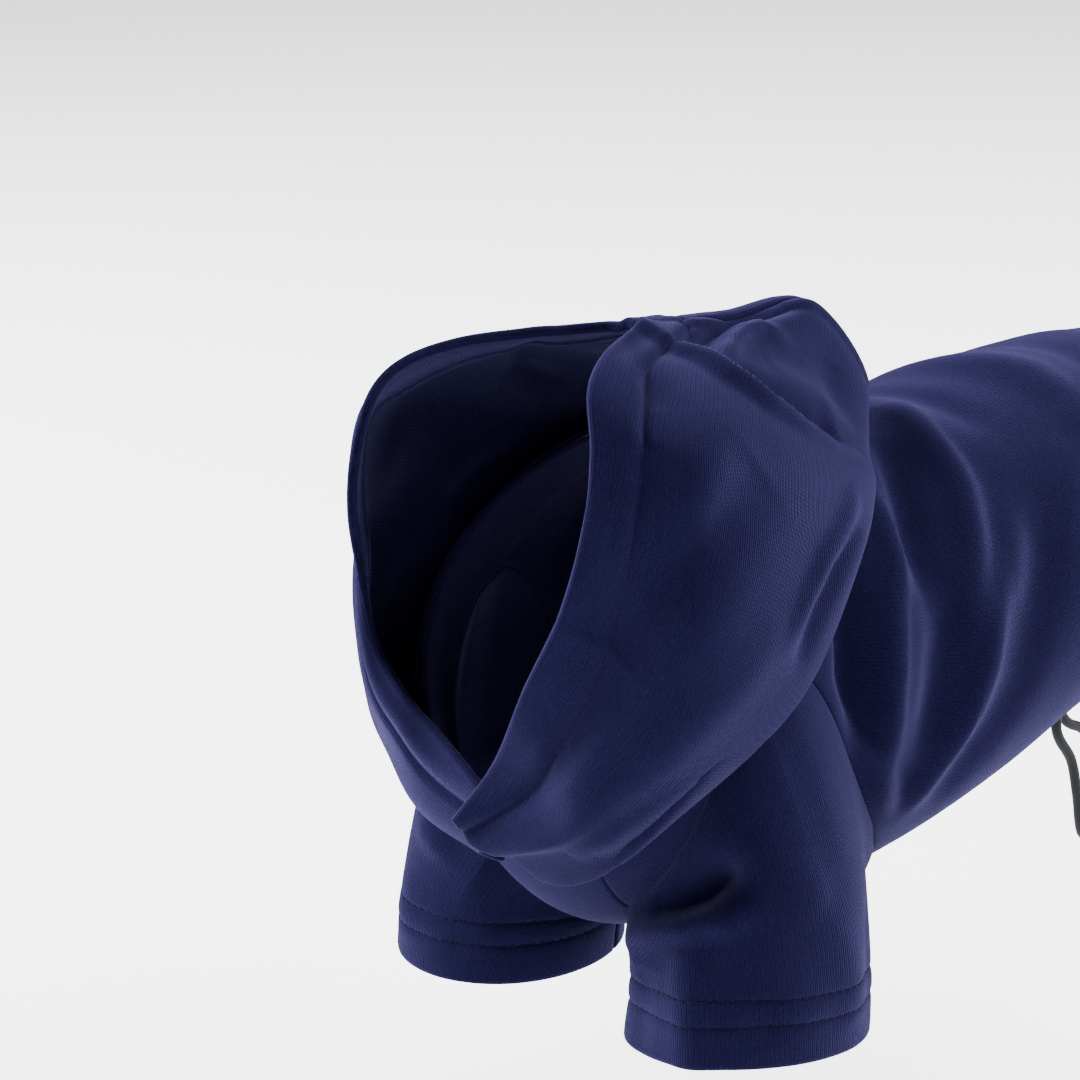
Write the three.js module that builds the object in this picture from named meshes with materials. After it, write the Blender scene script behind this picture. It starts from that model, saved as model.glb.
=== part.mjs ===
// A small dog's pullover hoodie in sweatshirt jersey, as it hangs when it is worn.
// Millimetres, +Z up, the tail end towards +Y, the dog's left side towards +X.
// The origin is inside the back panel, over the withers, where the dog carries it.
import * as THREE from "three";

// Named sizes of the cloth
const WALL = 1.4;
const HALF = WALL / 2;
const SEAM_GAP = 0.3;
const CORD_DIAMETER = 3;
const CLOTH_COLOUR = 0x28285f;
const CORD_COLOUR = 0x0d0d10;

// The trunk, a row per slanted section from the neck seam to the hem.
// The section runs from a spine point to a breastbone point, bow pushes its sides towards the neck.
const TRUNK = [
  { topY: -36, topZ: 5, lowY: -106, lowZ: -89, half: 44, bow: 19, seam: 150 },
  { topY: -24, topZ: 3, lowY: -90, lowZ: -111, half: 48, bow: 20, seam: 152 },
  { topY: -2, topZ: 0, lowY: -66, lowZ: -118, half: 51, bow: 9, seam: 146 },
  { topY: 18, topZ: -0.5, lowY: -40, lowZ: -120, half: 53, bow: 2, seam: 141 },
  { topY: 42, topZ: 0.5, lowY: -12, lowZ: -117, half: 54, bow: 0, seam: 142 },
  { topY: 70, topZ: 3, lowY: 18, lowZ: -110, half: 54, bow: 0, seam: 145 },
  { topY: 100, topZ: 3, lowY: 42, lowZ: -102, half: 52, bow: 0, seam: 148 },
  { topY: 130, topZ: 1.5, lowY: 60, lowZ: -95, half: 50, bow: -2, seam: 150 },
  { topY: 163, topZ: -2.5, lowY: 74, lowZ: -89, half: 47.5, bow: -8, seam: 151 },
];
const EGG = -0.1;
const FRONT_ROW = 1;
const HEM_ROW = TRUNK.length - 1;

// The armhole, a row per station behind its front edge, as angles down from the spine
const ARMHOLE = [
  { station: 1, upper: 90, lower: 152 },
  { station: 1.15, upper: 83, lower: 155 },
  { station: 1.5, upper: 86, lower: 157 },
  { station: 1.95, upper: 97, lower: 158 },
  { station: 2.4, upper: 109, lower: 157 },
  { station: 2.85, upper: 120, lower: 154 },
  { station: 3.25, upper: 131, lower: 150 },
  { station: 3.41, upper: 137, lower: 145 },
  { station: 3.45, upper: 141, lower: 141 },
];

// The cuffs, a row per side
const CUFFS = [
  { side: 1, x: 45, y: -70, z: -135, across: 27, along: 31, tilt: 5 },
  { side: -1, x: -42, y: -69, z: -140, across: 27, along: 31, tilt: 0 },
];

// The hood, a row per line from its edge to the neck seam.
// turn is where the line meets the neck seam, edge, band, swell, crown and fold are its points outwards.
const HOOD = [
  { turn: 171, tuck: 0.3, lift: 3, edge: [-2, -123, -79], band: [-1, -121, -83], swell: [1, -119, -86], crown: [4, -116, -88], fold: [7, -112, -89] },
  { turn: 160, tuck: 0.35, lift: 3.5, edge: [8, -119, -63], band: [16, -115, -70], swell: [21, -116, -74], crown: [24, -115, -79], fold: [24, -110, -82] },
  { turn: 146, tuck: 0.4, lift: 4, edge: [24, -124, -40], band: [26, -115, -57], swell: [34, -116, -61], crown: [38, -113, -67], fold: [37, -106, -74] },
  { turn: 128, tuck: 0.5, lift: 5, edge: [36, -123, -18], band: [40, -114, -31], swell: [48, -110, -41], crown: [53, -101, -51], fold: [50, -88, -61] },
  { turn: 108, tuck: 0.7, lift: 6, edge: [41, -121, 4], band: [48, -115, -8], swell: [59, -106, -18], crown: [62, -89, -31], fold: [57, -67, -45] },
  { turn: 86, tuck: 0.9, lift: 6, edge: [42, -120, 19], band: [49, -111, 14], swell: [62, -100, 4], crown: [61, -72, -9], fold: [54, -46, -19] },
  { turn: 60, tuck: 1, lift: 6, edge: [37, -117, 32], band: [46, -108, 24], swell: [57, -92, 18], crown: [54, -59, 5], fold: [45, -31, -6] },
  { turn: 40, tuck: 1.1, lift: 6, edge: [28, -106, 38], band: [31, -92, 32], swell: [38, -73, 26], crown: [38, -48, 14], fold: [33, -20, -1] },
  { turn: 20, tuck: 1.3, lift: 5.5, edge: [15, -80, 37], band: [17, -67, 30], swell: [19, -52, 26], crown: [18, -28, 18], fold: [21, -7, 3] },
  { turn: 0, tuck: 1.5, lift: 5, edge: [1, -68, 33], band: [1, -53, 31], swell: [1, -34, 30], crown: [2, -8, 29], fold: [9, 4, 8] },
  { turn: -20, tuck: 1.3, lift: 5.5, edge: [-13, -77, 31], band: [-15, -65, 27], swell: [-18, -50, 23], crown: [-18, -25, 18], fold: [-9, 3, 6] },
  { turn: -40, tuck: 1.1, lift: 6, edge: [-27, -99, 29], band: [-30, -88, 24], swell: [-38, -72, 21], crown: [-37, -48, 13], fold: [-32, -20, -1] },
  { turn: -60, tuck: 1, lift: 6, edge: [-37, -112, 22], band: [-42, -102, 16], swell: [-54, -90, 10], crown: [-52, -61, 1], fold: [-44, -33, -7] },
  { turn: -86, tuck: 0.9, lift: 6, edge: [-42, -117, 8], band: [-49, -110, 6], swell: [-58, -97, -3], crown: [-57, -74, -14], fold: [-52, -47, -20] },
  { turn: -108, tuck: 0.7, lift: 6, edge: [-44, -119, -14], band: [-49, -113, -24], swell: [-58, -106, -30], crown: [-59, -92, -39], fold: [-58, -69, -46] },
  { turn: -128, tuck: 0.5, lift: 5, edge: [-41, -115, -44], band: [-43, -115, -55], swell: [-50, -110, -60], crown: [-54, -104, -66], fold: [-53, -90, -68] },
  { turn: -146, tuck: 0.4, lift: 4, edge: [-32, -113, -57], band: [-32, -114, -69], swell: [-38, -111, -76], crown: [-43, -107, -80], fold: [-42, -100, -84] },
  { turn: -160, tuck: 0.3, lift: 3.5, edge: [-20, -111, -66], band: [-20, -113, -77], swell: [-24, -113, -84], crown: [-27, -111, -88], fold: [-27, -107, -91] },
  { turn: -176, tuck: 0.2, lift: 3, edge: [4, -114, -76], band: [2, -113, -82], swell: [-1, -113, -87], crown: [-3, -112, -90], fold: [-4, -111, -92] },
];
const HOOD_POINTS = ["edge", "band", "swell", "crown", "fold"];
const CENTRE_ROW = 9;

// The drawcord: the turns where it leaves the belly hem, and the points it hangs through
const CORD_EXITS = [160, 168];
const CORD_HANG = [
  { x: 16, y: 84, z: -104 },
  { x: 15, y: 93, z: -116 },
  { x: 14, y: 98, z: -128 },
  { x: 12, y: 104, z: -142 },
  { x: 9, y: 113, z: -146 },
  { x: 8, y: 120, z: -136 },
  { x: 8, y: 116, z: -120 },
  { x: 9, y: 105, z: -111 },
  { x: 10, y: 96, z: -106 },
];

// Soft folds of the trunk and sleeves, a row per fold from one end to the other, ridges positive
const FOLDS = [
  { from: [14, 16, -3], to: [42, 8, -27], width: 7, height: 2.4 },
  { from: [42, 8, -27], to: [50, 0, -50], width: 7, height: 1.4 },
  { from: [22, 0, -7], to: [46, -12, -36], width: 6.5, height: -2.4 },
  { from: [38, -18, -19], to: [51, -29, -46], width: 6, height: 2.2 },
  { from: [53, -31, -56], to: [53, -28, -84], width: 6, height: 1.8 },
  { from: [38, -30, -18], to: [53, -41, -62], width: 6, height: -2.6 },
  { from: [50, -8, -40], to: [54, -18, -72], width: 7, height: -1.6 },
  { from: [50, 12, -40], to: [53, -10, -75], width: 6.5, height: 2.2 },
  { from: [48, 34, -30], to: [56, 16, -60], width: 8, height: -1.8 },
  { from: [-14, 46, 2], to: [28, 67, -6], width: 8.5, height: 2.4 },
  { from: [-30, 15, -10], to: [-47, 2, -42], width: 6.5, height: 2.2 },
  { from: [-30, -2, -11], to: [-45, -12, -32], width: 6.5, height: -2.2 },
  { from: [-38, -17, -19], to: [-53, -29, -68], width: 6, height: 2 },
  { from: [-46, 31, -22], to: [-53, 6, -66], width: 8, height: -1.8 },
];

const radians = (degrees) => (degrees * Math.PI) / 180;
const mix = (a, b, t) => a + (b - a) * t;

// Smooth curve through the rows of a column: t = 0 at the first row, 1 at the next, and so on
function spline(values, t) {
  const last = values.length - 1;
  const i = Math.min(Math.max(Math.floor(t), 0), last - 1);
  const f = t - i;
  const b = values[i];
  const c = values[i + 1];
  const a = i > 0 ? values[i - 1] : 2 * b - c;
  const d = i + 2 <= last ? values[i + 2] : 2 * c - b;
  return b + 0.5 * f * (c - a + f * (2 * a - 5 * b + 4 * c - d + f * (3 * (b - c) + d - a)));
}

const columnOf = (table, name) => table.map((row) => row[name]);
const TRUNK_COLUMNS = Object.fromEntries(
  Object.keys(TRUNK[0]).map((name) => [name, columnOf(TRUNK, name)]),
);
const trunk = (name, s) => spline(TRUNK_COLUMNS[name], s);

// Height of all soft folds at a point: a bell across each fold's line
function foldHeight(p) {
  let total = 0;
  for (const fold of FOLDS) {
    const a = new THREE.Vector3(...fold.from);
    const along = new THREE.Vector3(...fold.to).sub(a);
    const t = THREE.MathUtils.clamp(p.clone().sub(a).dot(along) / along.lengthSq(), 0, 1);
    const away = p.distanceTo(a.addScaledVector(along, t)) / fold.width;
    total += fold.height * Math.exp(-away * away);
  }
  return total;
}

// Unit normal of a surface by differences, right-handed from its second parameter to its first
function normalOf(surface, a, b, stepA, stepB) {
  const da = surface(a + stepA, b).sub(surface(a - stepA, b));
  const db = surface(a, b + stepB).sub(surface(a, b - stepB));
  return db.cross(da).normalize();
}

// Trunk before its folds: station s along the rows, turn u round from the spine
function plainTrunk(s, u) {
  const down = (1 - Math.cos(u)) / 2;
  const runY = trunk("lowY", s) - trunk("topY", s);
  const runZ = trunk("lowZ", s) - trunk("topZ", s);
  const push = (trunk("bow", s) * Math.sin(u) ** 2) / Math.hypot(runY, runZ);
  return new THREE.Vector3(
    trunk("half", s) * Math.sin(u) * (1 + EGG * Math.cos(u)),
    trunk("topY", s) + runY * down + runZ * push,
    trunk("topZ", s) + runZ * down - runY * push,
  );
}
const plainNormal = (s, u) => normalOf(plainTrunk, s, u, 0.01, 0.01);

function trunkAt(s, u) {
  const p = plainTrunk(s, u);
  return p.addScaledVector(plainNormal(s, u), foldHeight(p));
}
const trunkNormal = (s, u) => normalOf(trunkAt, s, u, 0.01, 0.01);

// Angle of the armhole's upper or lower edge at a station
function armholeAngle(name, s) {
  let i = 0;
  while (i < ARMHOLE.length - 2 && ARMHOLE[i + 1].station < s) i++;
  const f = (s - ARMHOLE[i].station) / (ARMHOLE[i + 1].station - ARMHOLE[i].station);
  return radians(spline(columnOf(ARMHOLE, name), i + THREE.MathUtils.clamp(f, 0, 1)));
}
const REAR_STATION = ARMHOLE[ARMHOLE.length - 1].station;

// Stations behind the armhole's front edge, closer together at its two ends
const ARM_STEPS = 12;
const armStation = (k) =>
  mix(FRONT_ROW, REAR_STATION, (1 - Math.cos((Math.PI * k) / ARM_STEPS)) / 2);

// The armhole loop of the left side as stations and turns, from its top round the front
function armholeLoop() {
  const FRONT_STEPS = 7;
  const loop = [];
  for (let k = 0; k < FRONT_STEPS; k++) {
    const u = mix(armholeAngle("upper", FRONT_ROW), armholeAngle("lower", FRONT_ROW), k / FRONT_STEPS);
    loop.push([FRONT_ROW, u]);
  }
  for (let k = 0; k < ARM_STEPS; k++) loop.push([armStation(k), armholeAngle("lower", armStation(k))]);
  for (let k = ARM_STEPS; k > 0; k--) loop.push([armStation(k), armholeAngle("upper", armStation(k))]);
  return loop;
}
const LOOP = armholeLoop();

// A sleeve's cloth: from the armhole loop, out a little, and down to the cuff's oval
function makeSleeve(cuff) {
  const count = LOOP.length;
  const points = LOOP.map(([s, u]) => trunkAt(s, cuff.side * u));
  const normals = LOOP.map(([s, u]) => trunkNormal(s, cuff.side * u));
  const spans = points.map((p, k) => p.distanceTo(points[(k + 1) % count]));
  const girth = spans.reduce((sum, d) => sum + d, 0);
  let run = 0;
  const lines = points.map((start, k) => {
    const turn = (2 * Math.PI * run) / girth;
    run += spans[k];
    const end = new THREE.Vector3(
      cuff.x + cuff.side * cuff.across * Math.cos(turn),
      cuff.y - cuff.along * Math.sin(turn),
      cuff.z + cuff.tilt * (0.74 * cuff.side * Math.cos(turn) + 0.67 * Math.sin(turn)),
    );
    const reach = start.distanceTo(end);
    const flare = 0.2 + 0.35 * Math.sin(turn / 2) ** 2;
    const leave = end.clone().sub(start).normalize().addScaledVector(normals[k], flare).normalize();
    const first = start.clone().addScaledVector(leave, 0.3 * reach);
    const second = end.clone().add(new THREE.Vector3(0, 0.02 * reach, 0.4 * reach));
    return new THREE.CubicBezierCurve3(start, first, second, end);
  });
  return { lines, points, normals };
}
const SLEEVES = new Map(CUFFS.map((cuff) => [cuff.side, makeSleeve(cuff)]));

// Directions shared by the two pieces of an armhole seam: through the wall, and out of the hole
function seamFrame(side, k) {
  const { lines, points, normals } = SLEEVES.get(side);
  const count = points.length;
  const along = points[(k + 1) % count].clone().sub(points[(k + count - 1) % count]).normalize();
  const down = lines[k].getPoint(0.04).sub(points[k]).normalize();
  const face = along.clone().cross(down).multiplyScalar(side).normalize();
  const through = face.add(normals[k]).normalize();
  const out = along.clone().cross(through).multiplyScalar(side).normalize();
  if (out.dot(down) > 0) out.negate();
  return { through, out };
}

// A piece of cloth: middle points with a direction through the wall, and the cells between them
class Cloth {
  constructor() {
    this.points = [];
    this.through = [];
    this.inner = [];
    this.cells = [];
  }
  add(point, through, inner = HALF) {
    this.points.push(point);
    this.through.push(through);
    this.inner.push(inner);
    return this.points.length - 1;
  }
  fill(rows, closed = false) {
    for (let i = 0; i + 1 < rows.length; i++) {
      const width = rows[i].length;
      for (let j = 0; j < (closed ? width : width - 1); j++) {
        const next = (j + 1) % width;
        this.cells.push([rows[i][j], rows[i][next], rows[i + 1][next], rows[i + 1][j]]);
      }
    }
  }
  // Closes the wall: outer face, inner face and the cut edges between them
  geometry() {
    const count = this.points.length;
    const position = [];
    for (let k = 0; k < count; k++)
      position.push(...this.points[k].clone().addScaledVector(this.through[k], HALF).toArray());
    for (let k = 0; k < count; k++)
      position.push(...this.points[k].clone().addScaledVector(this.through[k], -this.inner[k]).toArray());
    const index = [];
    const open = new Map();
    const facing = this.cells.reduce((sum, [a, b, c, d]) => {
      const face = this.points[c].clone().sub(this.points[a]).cross(this.points[d].clone().sub(this.points[b]));
      return sum + face.dot(this.through[a]);
    }, 0);
    for (const [a, b, c, d] of this.cells) {
      const ring = facing < 0 ? [a, d, c, b] : [a, b, c, d];
      index.push(ring[0], ring[1], ring[2], ring[0], ring[2], ring[3]);
      const under = ring.map((k) => k + count);
      index.push(under[0], under[2], under[1], under[0], under[3], under[2]);
      ring.forEach((from, i) => {
        const to = ring[(i + 1) % 4];
        if (!open.delete(to + ">" + from)) open.set(from + ">" + to, [from, to]);
      });
    }
    for (const [from, to] of open.values())
      index.push(to, from, from + count, to, from + count, to + count);
    const made = new THREE.BufferGeometry();
    made.setAttribute("position", new THREE.Float32BufferAttribute(position, 3));
    made.setIndex(index);
    made.computeVertexNormals();
    return made;
  }
}

// Half the seam gap as a turn round the trunk
const seamTurn = (s) => SEAM_GAP / 2 / trunk("half", s);
const hemInner = (s) => (s > HEM_ROW - 0.9 ? HALF + WALL : HALF);

// Moves an armhole vertex of a trunk panel to its side of the seam and gives it the shared direction
function seamVertex(cloth, side, k, s, u) {
  const { through, out } = seamFrame(side, k);
  return cloth.add(trunkAt(s, u).addScaledVector(out, SEAM_GAP / 2), through);
}

// Loop places of the armhole's front edge, lower edge and upper edge
const FRONT_PLACES = 7;
const lowerPlace = (k) => FRONT_PLACES + k;
const upperPlace = (k) => (LOOP.length - k) % LOOP.length;

const REAR_STATIONS = [3.7, 4.1, 4.6, 5.1, 5.6, 6.1, 6.6, 7.05, 7.15, 7.55, 8];
const NECK_STATIONS = [0, 0.33, 0.67];

// The back panel: a band before the armholes from side seam to side seam, then the back behind them
function backPanel() {
  const ACROSS = 15;
  const cloth = new Cloth();
  const grid = (s, limit) => {
    const row = [];
    for (let j = -ACROSS; j <= ACROSS; j++) {
      const u = (limit * j) / ACROSS;
      row.push(cloth.add(trunkAt(s, u), trunkNormal(s, u), hemInner(s)));
    }
    return row;
  };
  const top = armholeAngle("upper", FRONT_ROW);
  const low = armholeAngle("lower", FRONT_ROW);
  const flank = (s, side, edge) => {
    const row = [];
    for (let k = 1; k <= FRONT_PLACES; k++) {
      const u = side * mix(top, edge, k / FRONT_PLACES);
      row.push(cloth.add(trunkAt(s, u), trunkNormal(s, u)));
    }
    return row;
  };
  const front = NECK_STATIONS.map((s) => {
    const edge = radians(trunk("seam", s)) - seamTurn(s);
    return [...flank(s, -1, edge).reverse(), ...grid(s, top), ...flank(s, 1, edge)];
  });
  const edgeFlank = (side) => {
    const row = [];
    for (let k = 1; k <= FRONT_PLACES; k++) {
      const shift = k === FRONT_PLACES ? seamTurn(FRONT_ROW) : 0;
      const u = side * (mix(top, low, k / FRONT_PLACES) - shift);
      row.push(seamVertex(cloth, side, k, FRONT_ROW, u));
    }
    return row;
  };
  const seamRow = (s, k) => {
    const limit = armholeAngle("upper", s) - (k === ARM_STEPS ? seamTurn(s) : 0);
    const row = [];
    for (let j = -ACROSS; j <= ACROSS; j++) {
      const u = (limit * j) / ACROSS;
      const side = Math.sign(j);
      if (Math.abs(j) === ACROSS) row.push(seamVertex(cloth, side, upperPlace(k), s, u));
      else row.push(cloth.add(trunkAt(s, u), trunkNormal(s, u)));
    }
    return row;
  };
  const shared = seamRow(FRONT_ROW, 0);
  front.push([...edgeFlank(-1).reverse(), ...shared, ...edgeFlank(1)]);
  cloth.fill(front);
  const rear = [shared];
  for (let k = 1; k <= ARM_STEPS; k++) rear.push(seamRow(armStation(k), k));
  for (const s of REAR_STATIONS) rear.push(grid(s, radians(trunk("seam", s)) - seamTurn(s)));
  cloth.fill(rear);
  return cloth;
}

// The chest and belly panel: between the legs, from the neck seam to the belly hem
function chestPanel() {
  const ACROSS = 5;
  const cloth = new Cloth();
  const rows = [];
  const addRow = (s, edge, place) => {
    const row = [];
    for (let j = -ACROSS; j <= ACROSS; j++) {
      const u = Math.PI + ((Math.PI - edge) * j) / ACROSS;
      const side = -Math.sign(j);
      if (place >= 0 && Math.abs(j) === ACROSS) row.push(seamVertex(cloth, side, place, s, j > 0 ? -edge : edge));
      else row.push(cloth.add(trunkAt(s, u), trunkNormal(s, u), hemInner(s)));
    }
    rows.push(row);
  };
  for (const s of NECK_STATIONS) addRow(s, radians(trunk("seam", s)) + seamTurn(s), -1);
  for (let k = 0; k <= ARM_STEPS; k++) {
    const s = armStation(k);
    const shift = k === 0 || k === ARM_STEPS ? seamTurn(s) : 0;
    addRow(s, armholeAngle("lower", s) + shift, lowerPlace(k));
  }
  for (const s of REAR_STATIONS) addRow(s, radians(trunk("seam", s)) + seamTurn(s), -1);
  cloth.fill(rows);
  return cloth;
}

// A sleeve: rings from the armhole seam to the turned hem, which is two layers thick
function sleeve(side) {
  const STEPS = [0, 0.06, 0.14, 0.24, 0.36, 0.48, 0.6, 0.7, 0.79, 0.81, 0.9, 1];
  const HEM_START = 0.8;
  const { lines } = SLEEVES.get(side);
  const count = lines.length;
  const cloth = new Cloth();
  const at = (k, t) => {
    const p = lines[(k + count) % count].getPoint(t);
    return p;
  };
  const rows = STEPS.map((t) =>
    lines.map((line, k) => {
      if (t === 0) {
        const { through, out } = seamFrame(side, k);
        return cloth.add(line.getPoint(0).addScaledVector(out, -SEAM_GAP / 2), through);
      }
      const around = at(k + 1, t).sub(at(k - 1, t));
      const down = at(k, Math.min(t + 0.01, 1)).sub(at(k, t - 0.01));
      const through = around.cross(down).multiplyScalar(side).normalize();
      return cloth.add(line.getPoint(t), through, t >= HEM_START ? HALF + WALL : HALF);
    }),
  );
  cloth.fill(rows, true);
  return cloth;
}

// The hood's middle surface: row r round from the left throat, column c from the edge to the neck seam
const HOOD_COLUMNS = HOOD.map((row) => {
  const u = radians(row.turn);
  const under = trunkAt(row.tuck, u).addScaledVector(trunkNormal(row.tuck, u), row.lift);
  const seam = trunkAt(0.12, u).addScaledVector(trunkNormal(0.12, u), WALL + 2 * SEAM_GAP);
  return [...HOOD_POINTS.map((name) => new THREE.Vector3(...row[name])), under, seam];
});
const NECK_COLUMN = HOOD_POINTS.length + 1;

function hoodAt(r, c) {
  const line = ["x", "y", "z"].map((axis) =>
    spline(
      HOOD_COLUMNS.map((row) => spline(row.map((p) => p[axis]), c)),
      r,
    ),
  );
  return new THREE.Vector3(...line);
}

function hoodHalf(fromRow, toRow, steps, fromShift, toShift) {
  const STEPS = [0, 0.33, 0.67, 0.98, 1.06, 1.4, 1.8, 2.2, 2.6, 3, 3.35, 3.65, 3.85, 4, 4.2, 4.45, 4.75, 5.1, 5.5, 6];
  const cloth = new Cloth();
  const rows = [];
  for (let i = 0; i <= steps; i++) {
    const r = mix(fromRow, toRow, i / steps);
    rows.push(
      STEPS.map((c) => {
        const p = hoodAt(r, c);
        const through = normalOf(hoodAt, r, THREE.MathUtils.clamp(c, 0.01, NECK_COLUMN - 0.01), 0.02, 0.01);
        const shift = (i === 0 ? fromShift : 0) + (i === steps ? toShift : 0);
        p.x += shift;
        return cloth.add(p, through, c < 1 ? HALF + WALL : HALF);
      }),
    );
  }
  cloth.fill(rows);
  return cloth;
}

// The drawcord: one plain loop that hangs from two openings in the belly hem
function hemCord() {
  const exit = (turn) => {
    const u = radians(turn);
    const out = trunkAt(HEM_ROW, u).sub(trunkAt(HEM_ROW - 0.05, u)).normalize();
    const centre = trunkAt(HEM_ROW, u).addScaledVector(trunkNormal(HEM_ROW, u), -HALF);
    return [centre.clone().addScaledVector(out, 3 * SEAM_GAP), centre.addScaledVector(out, 2 * CORD_DIAMETER)];
  };
  const near = exit(CORD_EXITS[0]);
  const far = exit(CORD_EXITS[1]).reverse();
  const hang = CORD_HANG.map((row) => new THREE.Vector3(row.x, row.y, row.z));
  const path = new THREE.CatmullRomCurve3([...near, ...hang, ...far]);
  const SIDES = 8;
  const section = new THREE.Shape();
  for (let k = 0; k < SIDES; k++) {
    const turn = (2 * Math.PI * k) / SIDES;
    const x = (CORD_DIAMETER / 2) * Math.cos(turn);
    const y = (CORD_DIAMETER / 2) * Math.sin(turn);
    if (k === 0) section.moveTo(x, y);
    else section.lineTo(x, y);
  }
  section.closePath();
  return new THREE.ExtrudeGeometry(section, { steps: 64, extrudePath: path, bevelEnabled: false });
}

const cloth = new THREE.MeshStandardMaterial({ color: CLOTH_COLOUR, roughness: 0.9, side: THREE.DoubleSide });
const cord = new THREE.MeshStandardMaterial({ color: CORD_COLOUR, roughness: 0.6 });

const PIECES = [
  { name: "back_panel", geometry: backPanel().geometry(), material: cloth },
  { name: "chest_panel", geometry: chestPanel().geometry(), material: cloth },
  { name: "sleeve_left", geometry: sleeve(1).geometry(), material: cloth },
  { name: "sleeve_right", geometry: sleeve(-1).geometry(), material: cloth },
  { name: "hood_left", geometry: hoodHalf(0, CENTRE_ROW, 42, 0, SEAM_GAP / 2).geometry(), material: cloth },
  { name: "hood_right", geometry: hoodHalf(CENTRE_ROW, HOOD.length - 1, 42, -SEAM_GAP / 2, 0).geometry(), material: cloth },
  { name: "hem_cord", geometry: hemCord(), material: cord },
];

const hoodie = new THREE.Group();
for (const { name, geometry, material } of PIECES) {
  const mesh = new THREE.Mesh(geometry, material);
  mesh.name = name;
  hoodie.add(mesh);
}

export default hoodie;
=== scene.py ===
# %% [markdown]
# # A small dog's pullover hoodie
# The garment hangs in the shape in which it is worn: a trunk tube, two short sleeves, and a hood that has
# fallen back on the shoulders. Everything is sweatshirt jersey about a millimetre and a half thick.
# The plain solids of the part already hold these forms. Here each solid is dressed with a finer shell that
# follows the same formulas, so that folds, seams, stitches and the knit can be shown at their real size.

import math

import bpy
import numpy as np
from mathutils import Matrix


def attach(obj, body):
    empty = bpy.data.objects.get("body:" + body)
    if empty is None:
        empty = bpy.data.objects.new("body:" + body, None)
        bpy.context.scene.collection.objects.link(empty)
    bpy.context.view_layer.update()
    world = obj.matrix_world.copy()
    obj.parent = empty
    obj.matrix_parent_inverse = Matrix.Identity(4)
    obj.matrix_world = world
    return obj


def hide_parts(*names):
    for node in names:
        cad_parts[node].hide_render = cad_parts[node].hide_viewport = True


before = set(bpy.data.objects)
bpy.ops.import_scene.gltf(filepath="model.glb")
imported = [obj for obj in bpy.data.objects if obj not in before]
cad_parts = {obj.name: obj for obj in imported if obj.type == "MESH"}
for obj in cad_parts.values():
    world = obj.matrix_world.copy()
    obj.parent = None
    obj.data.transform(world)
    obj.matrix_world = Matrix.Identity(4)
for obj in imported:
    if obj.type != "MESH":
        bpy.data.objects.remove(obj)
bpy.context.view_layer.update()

# %% [markdown]
# ## Camera
# The picture was taken with a long lens from the garment's front left, a little above it. A long lens keeps
# the hood from looking larger than the back. The camera is placed first, because the cord is judged
# by what this view shows.

# %% Camera
MM = 0.001
AZIMUTH = 48
PITCH = 17
CAMERA_PLACE = (0.4701, -0.5200, 0.1783)

camera_data = bpy.data.cameras.new("camera")
camera_data.lens = 94
camera_data.sensor_width = 36
camera = bpy.data.objects.new("camera", camera_data)
camera.location = CAMERA_PLACE
camera.rotation_euler = (math.radians(90 - PITCH), 0, math.radians(AZIMUTH))
bpy.context.collection.objects.link(camera)
bpy.context.scene.camera = camera
print("camera at", CAMERA_PLACE, "with a", camera_data.lens, "mm lens")

# %% [markdown]
# ## Helpers for meshes
# A surface is a grid of points that numpy works out in millimetres. One helper turns points and
# faces into a mesh in metres, and lays a UV map in millimetres on it, which the knit reads later.

# %% Mesh helper


def make_piece(name, points, faces, uv=None, material=None):
    """A mesh object of points in millimetres, with smooth faces; uv holds one pair per face corner."""
    mesh = bpy.data.meshes.new(name)
    faces = faces.tolist() if isinstance(faces, np.ndarray) else faces
    mesh.from_pydata((np.asarray(points) * MM).tolist(), [], faces)
    mesh.polygons.foreach_set("use_smooth", np.ones(len(mesh.polygons), dtype=bool))
    if uv is not None:
        layer = mesh.uv_layers.new(name="knit")
        layer.data.foreach_set("uv", np.asarray(uv, dtype=np.float32).ravel())
    if material is not None:
        mesh.materials.append(material)
    mesh.update()
    piece = bpy.data.objects.new(name, mesh)
    bpy.context.collection.objects.link(piece)
    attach(piece, "root")
    return piece


def unit(vectors):
    """Each vector divided by its own length."""
    return vectors / np.maximum(np.linalg.norm(vectors, axis=-1, keepdims=True), 1e-9)


def bell(distance, width):
    """A soft hill: 1 at distance 0, falling as exp of minus the square of distance over width."""
    return np.exp(-((distance / width) ** 2))


print("helpers ready")

# %% [markdown]
# ## Helpers for materials
# A material here is a small tree of nodes. One helper adds a node, sets its plain values and
# links its inputs, so that a tree reads as a list of steps.

# %% Node helper


def add_node(tree, kind, settings=None, **inputs):
    """A new node of a kind; settings are its properties, inputs are values or sockets, by name or number."""
    made = tree.nodes.new(kind)
    for name, value in (settings or {}).items():
        setattr(made, name, value)
    for name, value in inputs.items():
        key = int(name[1:]) if name[0] == "i" and name[1:].isdigit() else name.replace("_", " ")
        socket = made.inputs[key]
        if isinstance(value, bpy.types.NodeSocket):
            tree.links.new(value, socket)
        else:
            socket.default_value = value
    return made


def math_node(tree, operation, first, second=0.0, third=0.0):
    """The result of one sum on numbers or sockets."""
    made = add_node(tree, "ShaderNodeMath", {"operation": operation}, i0=first, i1=second, i2=third)
    return made.outputs[0]


def new_group(name, inputs, outputs):
    """An empty shader group with its sockets, and its input and output nodes."""
    tree = bpy.data.node_groups.new(name, "ShaderNodeTree")
    for socket, kind in inputs:
        tree.interface.new_socket(socket, in_out="INPUT", socket_type=kind)
    for socket, kind in outputs:
        tree.interface.new_socket(socket, in_out="OUTPUT", socket_type=kind)
    return tree, tree.nodes.new("NodeGroupInput"), tree.nodes.new("NodeGroupOutput")


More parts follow.
